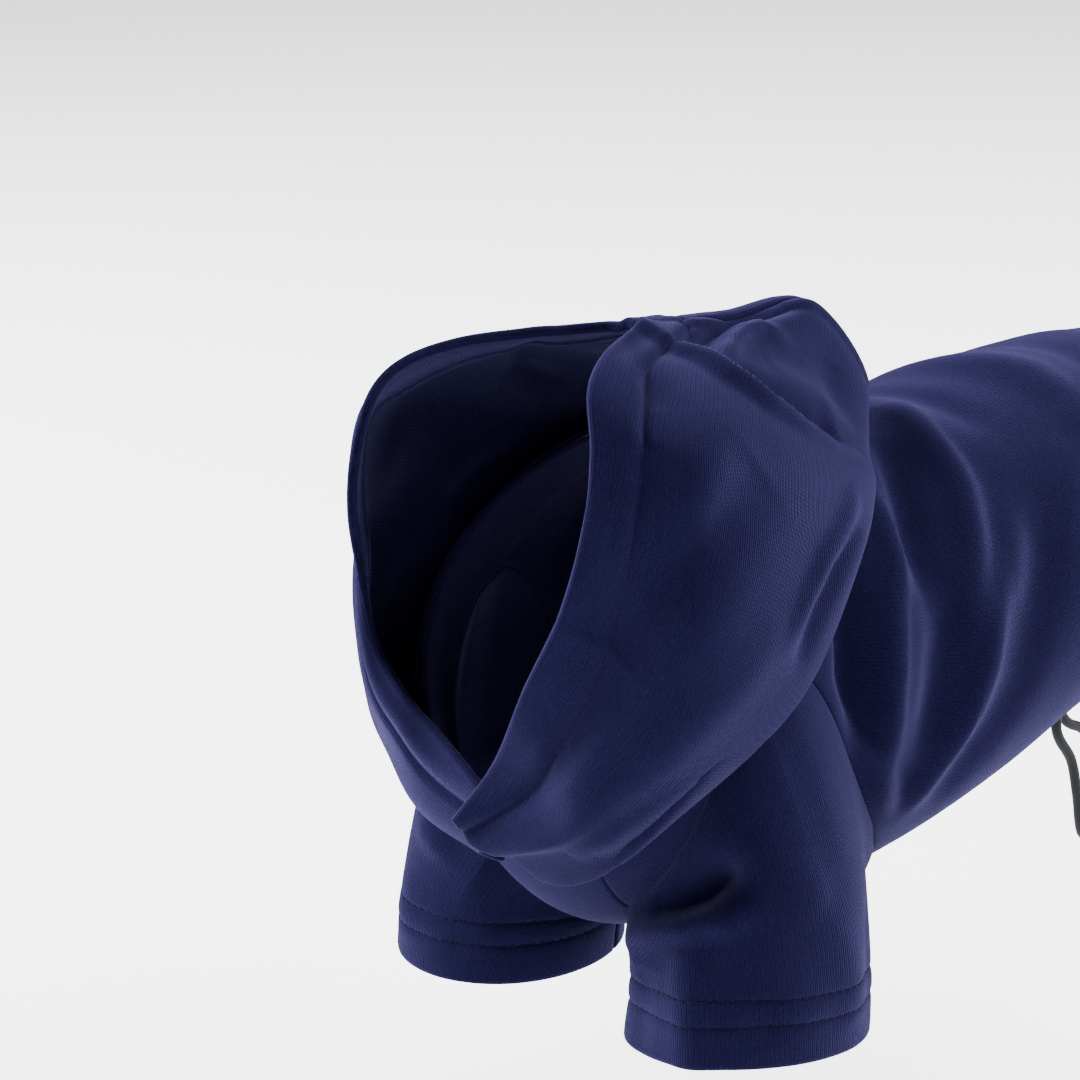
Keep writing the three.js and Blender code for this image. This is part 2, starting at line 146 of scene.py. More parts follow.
print("node helpers ready")

# %% [markdown]
# ## The knit
# Sweatshirt jersey shows columns of small V-shaped loops, the wales, about a millimetre apart. It could be
# modelled loop by loop, but a jacket has a million loops. A height pattern is enough at this
# distance: each wale has two leaning legs, and the yarn is thickest in the middle of each leg.
# The surface is brushed in washing, so a finer noise blurs the loops with fuzz.

# %% Knit group
WALE_PITCH = 1.14
COURSE_PITCH = 0.92


def knit_group():
    """Loop height from the UV in millimetres: legs across a wale times yarn swells along it; also a painted shade
    mask, 1 between the loops and 0 on their tops.
    """
    tree, inside, outside = new_group(
        "knit loops",
        [("Vector", "NodeSocketVector"), ("Wale", "NodeSocketFloat"), ("Course", "NodeSocketFloat")],
        [("Height", "NodeSocketFloat"), ("GapShade", "NodeSocketFloat")],
    )
    place = inside.outputs["Vector"]
    drift = add_node(tree, "ShaderNodeTexNoise", {"noise_dimensions": "2D"}, Vector=place, Scale=0.12, Detail=2.0)
    sway = math_node(tree, "MULTIPLY_ADD", drift.outputs[0], 0.5, -0.25)
    split = add_node(tree, "ShaderNodeSeparateXYZ", Vector=place)
    across = math_node(tree, "ADD", split.outputs[0], sway)
    wale = math_node(tree, "DIVIDE", across, inside.outputs["Wale"])
    beside = math_node(tree, "SUBTRACT", math_node(tree, "FRACT", wale), 0.5)
    legs = math_node(tree, "ABSOLUTE", math_node(tree, "SINE", math_node(tree, "MULTIPLY", beside, 2 * math.pi)))
    legs = math_node(tree, "POWER", legs, 0.7)
    crown = math_node(tree, "COSINE", math_node(tree, "MULTIPLY", beside, math.pi))
    legs = math_node(tree, "MULTIPLY_ADD", legs, 0.8, math_node(tree, "MULTIPLY", crown, 0.2))
    rise = math_node(tree, "DIVIDE", split.outputs[1], inside.outputs["Course"])
    lean = math_node(tree, "MULTIPLY_ADD", math_node(tree, "ABSOLUTE", beside), 1.3, rise)
    swell = math_node(tree, "COSINE", math_node(tree, "MULTIPLY", lean, 2 * math.pi))
    swell = math_node(tree, "MULTIPLY_ADD", swell, 0.16, 0.84)
    height = math_node(tree, "MULTIPLY", legs, swell)
    tree.links.new(height, outside.inputs["Height"])
    # Painted shade mask: 1 where the loops are low, in the hollows between them; it only darkens the colour.
    gap_shade = add_node(tree, "ShaderNodeMapRange", Value=height, From_Min=0.1, From_Max=0.75, To_Min=1.0, To_Max=0.0)
    tree.links.new(gap_shade.outputs[0], outside.inputs["GapShade"])
    return tree


KNIT = knit_group()
print("knit group with", len(KNIT.nodes), "nodes")

# %% Fuzz group


def fuzz_group():
    """Brushed fibres and uneven dye: fine noise for height, broad noise for the tone."""
    tree, inside, outside = new_group(
        "brushed fuzz",
        [("Vector", "NodeSocketVector"), ("Size", "NodeSocketFloat")],
        [("Height", "NodeSocketFloat"), ("Tone", "NodeSocketFloat")],
    )
    place = inside.outputs["Vector"]
    fine = math_node(tree, "DIVIDE", 1.0, inside.outputs["Size"])
    fibres = add_node(tree, "ShaderNodeTexNoise", Vector=place, Scale=fine, Detail=3.0, Roughness=0.65)
    broad = add_node(tree, "ShaderNodeTexNoise", Vector=place, Scale=28.0, Detail=3.0, Roughness=0.55)
    tree.links.new(fibres.outputs[0], outside.inputs["Height"])
    tree.links.new(broad.outputs[0], outside.inputs["Tone"])
    return tree


FUZZ = fuzz_group()
print("fuzz group with", len(FUZZ.nodes), "nodes")

# %% [markdown]
# ## Jersey material
# Deep navy cotton is matt. The hollows between the loops are darkened with painted shade, and at
# grazing angles the brushed fibres catch the light, which a soft sheen stands for.

# %% Jersey material


def jersey_material():
    """Navy knit: base colour from dye and fuzz with painted shade between the loops, bump from loops and fuzz, sheen
    for the fibres.
    """
    material = bpy.data.materials.new("navy jersey")
    material.use_nodes = True
    tree = material.node_tree
    shader = tree.nodes["Principled BSDF"]
    knit_map = add_node(tree, "ShaderNodeUVMap", {"uv_map": "knit"})
    place = add_node(tree, "ShaderNodeTexCoord")
    knit = add_node(
        tree, "ShaderNodeGroup", {"node_tree": KNIT},
        Vector=knit_map.outputs[0], Wale=WALE_PITCH, Course=COURSE_PITCH,
    )
    fuzz = add_node(tree, "ShaderNodeGroup", {"node_tree": FUZZ}, Vector=place.outputs["Object"], Size=0.0006)
    dyed = add_node(
        tree, "ShaderNodeMix", {"data_type": "RGBA"},
        i0=fuzz.outputs["Tone"], i6=(0.0038, 0.003, 0.018, 1), i7=(0.0056, 0.0045, 0.025, 1),
    )
    # Painted shade: the hollows between the loops are mixed towards near-black.
    painted_gap_shade = math_node(tree, "MULTIPLY", knit.outputs["GapShade"], 0.8)
    yarn = add_node(
        tree, "ShaderNodeMix", {"data_type": "RGBA"},
        i0=painted_gap_shade, i6=dyed.outputs[2], i7=(0.0008, 0.0006, 0.003, 1),
    )
    bright = add_node(tree, "ShaderNodeMapRange", Value=fuzz.outputs["Height"], From_Min=0.4, From_Max=0.75)
    bright = math_node(tree, "MULTIPLY", bright.outputs[0], 0.3)
    cloth = add_node(
        tree, "ShaderNodeMix", {"data_type": "RGBA"},
        i0=bright, i6=yarn.outputs[2], i7=(0.014, 0.012, 0.045, 1),
    )
    tree.links.new(cloth.outputs[2], shader.inputs["Base Color"])
    loops = add_node(
        tree, "ShaderNodeBump", Strength=0.8, Distance=0.0002, Height=knit.outputs["Height"],
    )
    fibres = add_node(
        tree, "ShaderNodeBump", Strength=0.5, Distance=0.00018,
        Height=fuzz.outputs["Height"], Normal=loops.outputs[0],
    )
    tree.links.new(fibres.outputs[0], shader.inputs["Normal"])
    shader.inputs["Roughness"].default_value = 0.92
    shader.inputs["Specular IOR Level"].default_value = 0.02
    shader.inputs["Sheen Weight"].default_value = 0.16
    shader.inputs["Sheen Roughness"].default_value = 0.36
    shader.inputs["Sheen Tint"].default_value = (0.4, 0.36, 0.88, 1)
    return material


JERSEY = jersey_material()
print("material", JERSEY.name)

# %% Thread and cord materials


def plain_fibre(name, colour, lighter, roughness, size):
    """Twisted or braided yarn: two tones mixed by fine noise, with the noise as a small bump."""
    material = bpy.data.materials.new(name)
    material.use_nodes = True
    tree = material.node_tree
    shader = tree.nodes["Principled BSDF"]
    place = add_node(tree, "ShaderNodeTexCoord")
    fuzz = add_node(tree, "ShaderNodeGroup", {"node_tree": FUZZ}, Vector=place.outputs["Object"], Size=size)
    tone = add_node(
        tree, "ShaderNodeMix", {"data_type": "RGBA"}, i0=fuzz.outputs["Height"], i6=colour, i7=lighter,
    )
    tree.links.new(tone.outputs[2], shader.inputs["Base Color"])
    bump = add_node(tree, "ShaderNodeBump", Strength=0.5, Distance=0.0001, Height=fuzz.outputs["Height"])
    tree.links.new(bump.outputs[0], shader.inputs["Normal"])
    shader.inputs["Roughness"].default_value = roughness
    shader.inputs["Specular IOR Level"].default_value = 0.08
    return material


THREAD = plain_fibre("navy thread", (0.001, 0.001, 0.005, 1), (0.004, 0.0035, 0.016, 1), 0.9, 0.0003)
CORD = plain_fibre("black braid", (0.004, 0.0042, 0.005, 1), (0.016, 0.017, 0.019, 1), 0.7, 0.0004)
print("materials", THREAD.name, "and", CORD.name)

# %% [markdown]
# ## Drawcord
# A round elastic cord runs inside the belly hem and comes out through two openings, so what shows is
# one loop that hangs and swings up at its low end. A curve with a bevel would do, but a tube carried along
# the path gives the cord its own map, round it and along it in millimetres.

# %% Tables of the trunk
TRUNK = np.array([
    # topY, topZ, lowY, lowZ, half, bow, seam
    [-36, 5, -106, -89, 44, 19, 150],
    [-24, 3, -90, -111, 48, 20, 152],
    [-2, 0, -66, -118, 51, 9, 146],
    [18, -0.5, -40, -120, 53, 2, 141],
    [42, 0.5, -12, -117, 54, 0, 142],
    [70, 3, 18, -110, 54, 0, 145],
    [100, 3, 42, -102, 52, 0, 148],
    [130, 1.5, 60, -95, 50, -2, 150],
    [163, -2.5, 74, -89, 47.5, -8, 151],
])
SEAM_COLUMN = 6
HALF_COLUMN = 4
EGG = -0.1
HEM_ROW = len(TRUNK) - 1


def spline(values, t):
    """Smooth curve through rows of values: at t = 0 the first row, at 1 the next, with free ends."""
    values = np.asarray(values, dtype=float)
    before = 2 * values[:1] - values[1:2]
    after = 2 * values[-1:] - values[-2:-1]
    rows = np.concatenate([before, values, after])
    t = np.asarray(t, dtype=float)
    i = np.clip(np.floor(t).astype(int), 0, len(values) - 2)
    f = (t - i).reshape(t.shape + (1,) * (values.ndim - 1))
    a, b, c, d = (rows[i + k] for k in range(4))
    return b + 0.5 * f * (c - a + f * (2 * a - 5 * b + 4 * c - d + f * (3 * (b - c) + d - a)))


def plain_trunk(s, u):
    """Section s along the table, turn u from the spine: an egg between a top and a low point, bowed at its sides."""
    s, u = np.broadcast_arrays(np.asarray(s, dtype=float), np.asarray(u, dtype=float))
    top_y, top_z, low_y, low_z, half, bow, seam = np.moveaxis(spline(TRUNK, s), -1, 0)
    down = (1 - np.cos(u)) / 2
    run_y = low_y - top_y
    run_z = low_z - top_z
    push = bow * np.sin(u) ** 2 / np.hypot(run_y, run_z)
    x = half * np.sin(u) * (1 + EGG * np.cos(u))
    return np.stack([x, top_y + run_y * down + run_z * push, top_z + run_z * down - run_y * push], -1)


def normal_of(surface, a, b, step_a, step_b):
    """Unit normal of a surface of two parameters, from differences."""
    da = surface(a + step_a, b) - surface(a - step_a, b)
    db = surface(a, b + step_b) - surface(a, b - step_b)
    return unit(np.cross(db, da))


print("trunk table with", len(TRUNK), "sections")

# %% Creases of the trunk
BODY_CREASES = [
    # line of points, width, height
    ([(8, 18, -1), (14, 16, -3), (24, 14, -7), (34, 13, -16), (42, 8, -27), (46, 4, -35), (50, 0, -50)], 6, 4.4),
    ([(18, 2, -4), (27, -2, -10), (35, -6, -17), (41, -10, -25), (47, -12, -36)], 5.5, -4.8),
    ([(32, -17, -12), (38, -18, -19), (43, -20, -26), (48, -26, -36), (51, -29, -46), (53, -31, -56),
      (54, -31, -66), (54, -30, -76), (52, -26, -88)], 3.8, 4.0),
    ([(44, -14, -26), (49, -20, -38), (52, -24, -50), (54, -24, -64)], 6, 1.6),
    ([(38, -30, -18), (44, -36, -28), (48, -40, -38), (51, -42, -48), (53, -41, -60), (53, -38, -70)], 4.8, -6.5),
    ([(50, -6, -38), (53, -11, -50), (54, -15, -62), (54, -19, -74)], 6.5, -3.8),
    ([(49, 14, -36), (51, 8, -46), (53, 3, -56), (53, -3, -66), (53, -13, -77), (49, -21, -89)], 5, 4.0),
    ([(52, 20, -58), (53, 12, -68), (52, 2, -79), (49, -8, -91)], 7, -3.0),
    ([(52, -36, -60), (53, -31, -70), (52, -25, -80), (49, -20, -90)], 3.6, -1.4),
    ([(51, -47, -54), (52, -41, -64), (53, -35, -75), (50, -29, -85)], 3.0, 1.8),
    ([(42, 26, -22), (47, 21, -33), (50, 16, -43)], 6, 1.6),
    ([(46, 36, -26), (50, 31, -36), (54, 24, -47), (56, 16, -60)], 8, -3.4),
    ([(-22, 40, 0), (-8, 50, 3), (4, 60, 4), (14, 66, 2), (25, 68, -4), (34, 64, -12)], 8, 3.0),
    ([(-20, 76, 3), (-4, 84, 5), (9, 88, 4), (20, 89, 0), (30, 86, -6)], 6, -1.4),
    ([(-18, 98, 2), (0, 104, 4), (16, 108, 2), (28, 106, -4)], 8, 1.0),
    ([(-18, 16, -1), (0, 26, 1), (14, 32, -1), (26, 36, -5)], 6, -1.8),
    ([(34, 56, -10), (42, 50, -20), (48, 44, -30)], 7, 1.3),
    ([(20, 108, 0), (34, 98, -11), (44, 84, -26), (51, 64, -46)], 8, 1.8),
    ([(38, 120, -14), (47, 100, -32), (51, 80, -52)], 7, -1.6),
    ([(46, 128, -40), (50, 104, -58), (48, 82, -76), (40, 70, -90)], 8, 1.4),
    ([(-22, 18, -4), (-32, 14, -13), (-41, 8, -26), (-48, 0, -44)], 5.5, 3.2),
    ([(-28, 0, -9), (-38, -6, -19), (-45, -12, -32)], 5, -3.0),
    ([(-36, -16, -16), (-45, -22, -30), (-51, -28, -46), (-54, -30, -62), (-53, -26, -80)], 4, 3.2),
    ([(-44, -36, -26), (-50, -42, -42), (-53, -42, -56)], 4.4, -3.6),
    ([(-44, 34, -18), (-51, 24, -36), (-54, 12, -56), (-52, -2, -78)], 7, -2.4),
    ([(-52, 10, -48), (-54, 2, -62), (-52, -10, -80)], 5, 2.6),
    ([(-51, -48, -54), (-53, -36, -74), (-50, -29, -86)], 3, 1.6),
    ([(-24, 92, 0), (-38, 84, -14), (-48, 68, -34), (-53, 50, -54)], 8, 2.0),
    ([(-30, 122, -4), (-44, 106, -24), (-51, 88, -44), (-50, 70, -66)], 7, -1.7),
    ([(-42, 130, -34), (-49, 108, -52), (-47, 84, -74)], 8, 1.4),
]


def crease_height(points, creases):
    """Sum of hills and troughs along lines: a bell of the distance to each line, fading at its two ends."""
    total = np.zeros(points.shape[:-1])
    for line, width, height in creases:
        line = np.asarray(line, dtype=float)
        best = np.full(points.shape[:-1], 1e9)
        place = np.zeros(points.shape[:-1])
        for k in range(len(line) - 1):
            along = line[k + 1] - line[k]
            t = np.clip((points - line[k]) @ along / (along @ along), 0, 1)
            away = np.linalg.norm(points - line[k] - t[..., None] * along, axis=-1)
            nearer = away < best
            best = np.where(nearer, away, best)
            place = np.where(nearer, (k + t) / (len(line) - 1), place)
        fade = np.clip(4.2 * place * (1 - place), 0, 1) ** 0.6
        total += height * (0.25 + 0.75 * fade) * bell(best, width)
    return total


def trunk_at(s, u):
    """The trunk with its creases: the plain surface moved along its own normal."""
    base = plain_trunk(s, u)
    return base + normal_of(plain_trunk, s, u, 0.01, 0.01) * crease_height(base, BODY_CREASES)[..., None]


def trunk_normal(s, u):
    """Outward normal of the creased trunk."""
    return normal_of(trunk_at, s, u, 0.01, 0.01)


print(len(BODY_CREASES), "creases on the trunk")

# %% The cord's path
CORD_DIAMETER = 3
CORD_EXITS = [160, 168]
CORD_HANG = [
    (16, 84, -104), (15, 93, -116), (14, 98, -128), (12, 104, -142), (9, 113, -146),
    (8, 120, -136), (8, 116, -120), (9, 105, -111), (10, 96, -106),
]
WALL = 1.4
HALF = WALL / 2


def hem_exit(turn):
    """The point where the cord leaves the hem, and one two diameters further out."""
    u = math.radians(turn)
    out = unit(plain_trunk(HEM_ROW, u) - plain_trunk(HEM_ROW - 0.05, u))
    centre = plain_trunk(HEM_ROW, u) - HALF * normal_of(plain_trunk, HEM_ROW, u, 0.01, 0.01)
    return [centre + 0.9 * out, centre + 2 * CORD_DIAMETER * out]


def centripetal(points, count):
    """Centripetal Catmull-Rom curve: knots are spaced by the square root of each chord."""
    points = np.asarray(points, dtype=float)
    ends = [2 * points[0] - points[1], *points, 2 * points[-1] - points[-2]]
    path = np.asarray(ends)
    steps = np.maximum(np.sqrt(np.linalg.norm(np.diff(path, axis=0), axis=1)), 1e-6)
    t = np.linspace(0, len(points) - 1, count)
    i = np.clip(np.floor(t).astype(int), 0, len(points) - 2)
    f = (t - i)[:, None]
    a, b, c, d = (path[i + k] for k in range(4))
    d0, d1, d2 = (steps[i + k][:, None] for k in range(3))
    leave = ((b - a) / d0 - (c - a) / (d0 + d1) + (c - b) / d1) * d1
    arrive = ((c - b) / d1 - (d - b) / (d1 + d2) + (d - c) / d2) * d1
    cubic = 2 * (b - c) + leave + arrive
    square = 3 * (c - b) - 2 * leave - arrive
    return b + f * (leave + f * (square + f * cubic))


cord_path = centripetal([*hem_exit(CORD_EXITS[0]), *CORD_HANG, *hem_exit(CORD_EXITS[1])[::-1]], 241)

# %% The cord's tube


def tube(path, radius, sides):
    """A circle carried along a path: radius times cosine and sine in a frame that turns as little as it can."""
    along = unit(np.gradient(path, axis=0))
    side = np.cross(along[0], (0, 0, 1))
    sides_of = [unit(side)]
    for direction in along[1:]:
        side = sides_of[-1] - direction * (sides_of[-1] @ direction)
        sides_of.append(unit(side))
    side = np.array(sides_of)
    over = np.cross(along, side)
    turn = np.linspace(0, 2 * np.pi, sides, endpoint=False)
    ring = np.cos(turn)[None, :, None] * side[:, None] + np.sin(turn)[None, :, None] * over[:, None]
    return path[:, None] + radius * ring, ring


def tube_piece(name, path, radius, sides, material):
    """A closed tube with flat-domed ends; its map holds the way round and the way along in millimetres."""
    rings, outward = tube(path, radius, sides)
    count = len(path)
    points = np.concatenate([rings.reshape(-1, 3), path[:1], path[-1:]])
    i, j = np.meshgrid(np.arange(count - 1), np.arange(sides), indexing="ij")
    k = (j + 1) % sides
    quads = np.stack([i * sides + j, i * sides + k, (i + 1) * sides + k, (i + 1) * sides + j], -1).reshape(-1, 4)
    first = np.arange(sides)
    after = (first + 1) % sides
    hub = count * sides
    last = (count - 1) * sides
    caps = [(hub, b, a) for a, b in zip(first, after)] + [(hub + 1, last + a, last + b) for a, b in zip(first, after)]
    run = np.concatenate([[0], np.linalg.norm(np.diff(path, axis=0), axis=1).cumsum()])
    round_mm = 2 * np.pi * radius / sides
    corner_j = np.stack([j, j + 1, j + 1, j], -1).reshape(-1, 4) * round_mm
    corner_i = run[np.stack([i, i, i + 1, i + 1], -1).reshape(-1, 4)]
    uv = np.stack([corner_j, corner_i], -1).reshape(-1, 2)
    uv = np.concatenate([uv, np.zeros((6 * sides, 2))])
    return make_piece(name, points, quads.tolist() + [[int(v) for v in cap] for cap in caps], uv, material)


cord = tube_piece("drawcord", cord_path, CORD_DIAMETER / 2, 14, CORD)
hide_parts("hem_cord")
print("cord of", len(cord.data.polygons), "faces")

# %% [markdown]
# ## Cloth shells
# Each cut piece of jersey is one closed shell: an outer and an inner face, half a wall on each side of
# a middle surface. Solidify would do that with square edges. Here the wall is worked out point by point,
# so that it thins to a round lip at every edge, where the cloth turns into a seam or folds at a hem,
# and is two layers thick where a hem is turned.

# %% Cloth shell
LIP = 1.3


def edge_distance(points, edge_points):
    """Distance in millimetres from each point to the nearest of some edge points, a block at a time."""
    nearest = np.full(len(points), 1e9)
    for start in range(0, len(points), 1500):
        block = points[start:start + 1500]
        away = np.linalg.norm(block[:, None] - edge_points[None], axis=-1)
        nearest[start:start + 1500] = away.min(axis=1)
    return nearest


class Cloth:
    """Middle points with a direction through the wall, and the cells of four points between them."""

    def __init__(self):
        self.points = np.zeros((0, 3))
        self.through = np.zeros((0, 3))
        self.map = np.zeros((0, 2))
        self.inner = np.zeros(0)
        self.cells = []
        self.maps = []

    def add(self, points, through, inner):
        """Puts in a grid of points; gives back the grid of their numbers."""
        first = len(self.points)
        self.points = np.concatenate([self.points, points.reshape(-1, 3)])
        self.through = np.concatenate([self.through, through.reshape(-1, 3)])
        self.inner = np.concatenate([self.inner, np.broadcast_to(inner, points.shape[:-1]).ravel()])
        return first + np.arange(points.shape[0] * points.shape[1]).reshape(points.shape[:2])

    def fill(self, rows, knit):
        """Puts cells between neighbouring rows and columns; knit is the map of the same grid."""
        a, b, c, d = rows[:-1, :-1], rows[:-1, 1:], rows[1:, 1:], rows[1:, :-1]
        self.cells.append(np.stack([a, b, c, d], -1).reshape(-1, 4))
        a, b, c, d = knit[:-1, :-1], knit[:-1, 1:], knit[1:, 1:], knit[1:, :-1]
        self.maps.append(np.stack([a, b, c, d], -2).reshape(-1, 4, 2))

    def shell(self, name):
        """Outer face, inner face and round lips: the wall's half times the root of 1 - (1 - d / lip) squared."""
        cells = np.concatenate(self.cells)
        maps = np.concatenate(self.maps)
        diagonal = np.cross(
            self.points[cells[:, 2]] - self.points[cells[:, 0]],
            self.points[cells[:, 3]] - self.points[cells[:, 1]],
        )
        if (diagonal * self.through[cells[:, 0]]).sum() < 0:
            cells = cells[:, ::-1]
            maps = maps[:, ::-1]
        sides = np.concatenate([cells[:, [k, (k + 1) % 4]] for k in range(4)])
        key = np.sort(sides, axis=1)
        _, number, count = np.unique(key, axis=0, return_inverse=True, return_counts=True)
        rim = np.zeros(len(self.points), dtype=bool)
        rim[sides[count[number.ravel()] == 1].ravel()] = True
        away = edge_distance(self.points, self.points[rim])
        away[rim] = 0
        lip = np.sqrt(1 - (1 - np.clip(away / LIP, 0, 1)) ** 2)[:, None]
        thick = ((HALF + self.inner) / 2)[:, None]
        middle = self.points + self.through * ((HALF - self.inner) / 2)[:, None]
        outer = middle + self.through * thick * lip
        under = middle - self.through * thick * lip
        number = np.arange(len(self.points))
        beneath = number.copy()
        beneath[~rim] = len(self.points) + np.arange((~rim).sum())
        points = np.concatenate([outer, under[~rim]])
        faces = np.concatenate([cells, beneath[cells][:, ::-1]])
        uv = np.concatenate([maps, maps[:, ::-1]]).reshape(-1, 2)
        piece = make_piece(name, points, faces, uv, JERSEY)
        print(name, "has", len(faces), "faces,", round(float(self.middle_area(cells)) / 100, 1), "square cm")
        return piece

    def middle_area(self, cells):
        """Area of the middle surface: half of each cell's crossed diagonals."""
        p = self.points
        return np.linalg.norm(np.cross(p[cells[:, 2]] - p[cells[:, 0]], p[cells[:, 3]] - p[cells[:, 1]]), axis=1).sum() / 2


print("cloth shells ready, with lips of", LIP, "mm")

# %% Arc lengths and samples


def run_along(points, axis):
    """Length walked along one axis of a grid of points, from its first line."""
    step = np.linalg.norm(np.diff(points, axis=axis), axis=-1)
    start = np.zeros_like(np.take(step, [0], axis=axis))
    return np.concatenate([start, np.cumsum(step, axis=axis)], axis=axis)


RIM_STEPS = np.array([0, 0.1, 0.35, 0.75, 1.3, 2.1])


def shares(length, count, at_start=True, at_end=True):
    """Samples from 0 to 1, even in the middle, with the lip's steps at the ends that are edges."""
    near = RIM_STEPS / length
    first = near if at_start else np.array([0.0])
    final = 1 - near[::-1] if at_end else np.array([1.0])
    return np.concatenate([first, np.linspace(first[-1], final[0], count + 2)[1:-1], final])


print("a lip takes", len(RIM_STEPS), "samples")

# %% The armhole
ARMHOLE = np.array([
    # station, upper, lower
    [1, 90, 152], [1.15, 83, 155], [1.5, 86, 157], [1.95, 97, 158], [2.4, 109, 157],
    [2.85, 120, 154], [3.25, 131, 150], [3.41, 137, 145], [3.45, 141, 141],
])
FRONT_ROW = 1
REAR_STATION = ARMHOLE[-1, 0]
FRONT_STEPS = 28
ARM_STEPS = 46
REACH = 4


def armhole_turn(column, s):
    """Turn of the armhole's upper edge (column 1) or lower edge (column 2) at a station, in radians."""
    station = ARMHOLE[:, 0]
    s = np.asarray(s, dtype=float)
    i = np.clip(np.searchsorted(station[1:], s), 0, len(station) - 2)
    f = np.clip((s - station[i]) / (station[i + 1] - station[i]), 0, 1)
    return np.radians(spline(ARMHOLE[:, column], i + f))


def arm_stations():
    """Stations from the front edge of the armhole to its rear tip, closer together at both ends."""
    k = np.arange(ARM_STEPS + 1)
    return FRONT_ROW + (REAR_STATION - FRONT_ROW) * (1 - np.cos(np.pi * k / ARM_STEPS)) / 2


def armhole_loop():
    """The armhole as stations and turns: down its front edge, back along its lower edge, home along its upper."""
    top = armhole_turn(1, FRONT_ROW)
    low = armhole_turn(2, FRONT_ROW)
    front = top + (low - top) * np.arange(FRONT_STEPS) / FRONT_STEPS
    station = arm_stations()
    back = station[:0:-1]
    s = np.concatenate([np.full(FRONT_STEPS, float(FRONT_ROW)), station[:-1], back])
    u = np.concatenate([front, armhole_turn(2, station[:-1]), armhole_turn(1, back)])
    return s, u


LOOP_S, LOOP_U = armhole_loop()
print("armhole loop of", len(LOOP_S), "points")

# %% [markdown]
# ## Sleeves
# A short sleeve is a tube from the armhole to the cuff. Each of its lines is a cubic curve that leaves
# the body along the cloth, swings out a little over the shoulder and comes down plumb to an oval cuff.
# The neighbouring panels use the same armhole points and share one direction through the wall,
# so the seam closes from both sides.

# %% Sleeve lines
CUFFS = {
    # side: x, y, z, across, along, tilt
    1: (45, -70, -135, 27, 31, 5),
    -1: (-42, -69, -140, 27, 31, 0),
}


def loop_share(start, even):
    """Share of the armhole's length walked at each point; or even steps within each of its three edges."""
    spans = np.linalg.norm(np.roll(start, -1, axis=0) - start, axis=1)
    walked = np.concatenate([[0], spans.cumsum()]) / spans.sum()
    knots = [0, FRONT_STEPS, FRONT_STEPS + ARM_STEPS, len(start)]
    steps = np.arange(len(start))
    return np.interp(steps, knots, walked[knots]) if even else walked[:-1]


def sleeve_lines(side):
    """Four control points of each line, from the armhole loop to the cuff's oval."""
    x, y, z, across, along, tilt = CUFFS[side]
    start = trunk_at(LOOP_S, side * LOOP_U)
    normal = trunk_normal(LOOP_S, side * LOOP_U)
    turn = 2 * np.pi * loop_share(start, True)
    drop = tilt * (0.74 * side * np.cos(turn) + 0.67 * np.sin(turn))
    end = np.stack([x + side * across * np.cos(turn), y - along * np.sin(turn), z + drop], -1)
    reach = np.linalg.norm(end - start, axis=1)[:, None]
    flare = (0.2 + 0.35 * np.sin(turn / 2) ** 2)[:, None]
    leave = unit(unit(end - start) + normal * flare)
    first = start + 0.3 * reach * leave
    second = end + reach * np.array([0, 0.02, 0.4])
    return np.stack([start, first, second, end]), normal


def on_lines(lines, t):
    """Cubic curve of each line at t: the four control points weighed by powers of t and 1 - t."""
    t = np.asarray(t, dtype=float)[..., None]
    a, b, c, d = lines
    return a * (1 - t) ** 3 + 3 * b * t * (1 - t) ** 2 + 3 * c * t ** 2 * (1 - t) + d * t ** 3


def seam_frame(side, lines, normal):
    """Direction through the wall at the armhole seam, half way between the trunk's and the sleeve's."""
    start = lines[0]
    along = unit(np.roll(start, -REACH, axis=0) - np.roll(start, REACH, axis=0))
    down = unit(on_lines(lines, np.full(len(start), 0.04)) - start)
    face = unit(side * np.cross(along, down))
    return unit(face + normal)


SLEEVE_LINES = {}
SEAM_THROUGH = {}
for side in CUFFS:
    lines, normal = sleeve_lines(side)
    SLEEVE_LINES[side] = lines
    SEAM_THROUGH[side] = seam_frame(side, lines, normal)
print("sleeve lines for", len(SLEEVE_LINES), "sides")

# %% Sleeve creases
SLEEVE_CREASES = {
    1: [
        ([(34, -96, -98), (41, -95, -95), (47, -92, -92), (52, -89, -88), (57, -86, -85)], 4.6, -9.0),
        ([(28, -94, -108), (34, -95, -105), (42, -94, -101), (52, -92, -96), (61, -88, -94)], 3.6, 4.2),
        ([(49, -95, -104), (53, -98, -116), (55, -99, -132)], 5, 2.6),
        ([(56, -84, -78), (64, -78, -84), (68, -70, -94)], 6, 1.6),
        ([(36, -98, -112), (38, -100, -132)], 7, -2.2),
        ([(70, -66, -96), (72, -62, -112), (72, -60, -126)], 6, 1.2),
        ([(60, -93, -104), (66, -88, -114), (68, -86, -124)], 6, -1.5),
        ([(60, -40, -92), (66, -48, -106), (69, -52, -122)], 5, -1.2),
    ],
    -1: [
        ([(-46, -92, -95), (-34, -98, -99), (-20, -99, -99)], 4.2, -4.0),
        ([(-50, -92, -104), (-36, -97, -107), (-20, -98, -108)], 3.8, 2.4),
        ([(-66, -76, -96), (-69, -74, -112), (-68, -74, -130)], 6, 1.8),
        ([(-64, -58, -92), (-68, -52, -106)], 6, -2.2),
        ([(-60, -44, -100), (-64, -42, -118), (-63, -44, -134)], 5, 1.7),
        ([(-52, -98, -116), (-50, -99, -134)], 6, 1.4),
        ([(-30, -99, -116), (-28, -100, -134)], 7, -1.4),
    ],
}
HEM_ROWS = (10.4, 16.6)
HEM_DEPTH = 17.8
CUFF_STEPS = np.concatenate([
    RIM_STEPS, np.linspace(3.2, 9.2, 6), np.linspace(9.8, 11.0, 5), np.linspace(12.2, 15.4, 4),
    np.linspace(16.0, 17.2, 5), np.array([17.7, 18.2, 18.8, 19.6]),
])


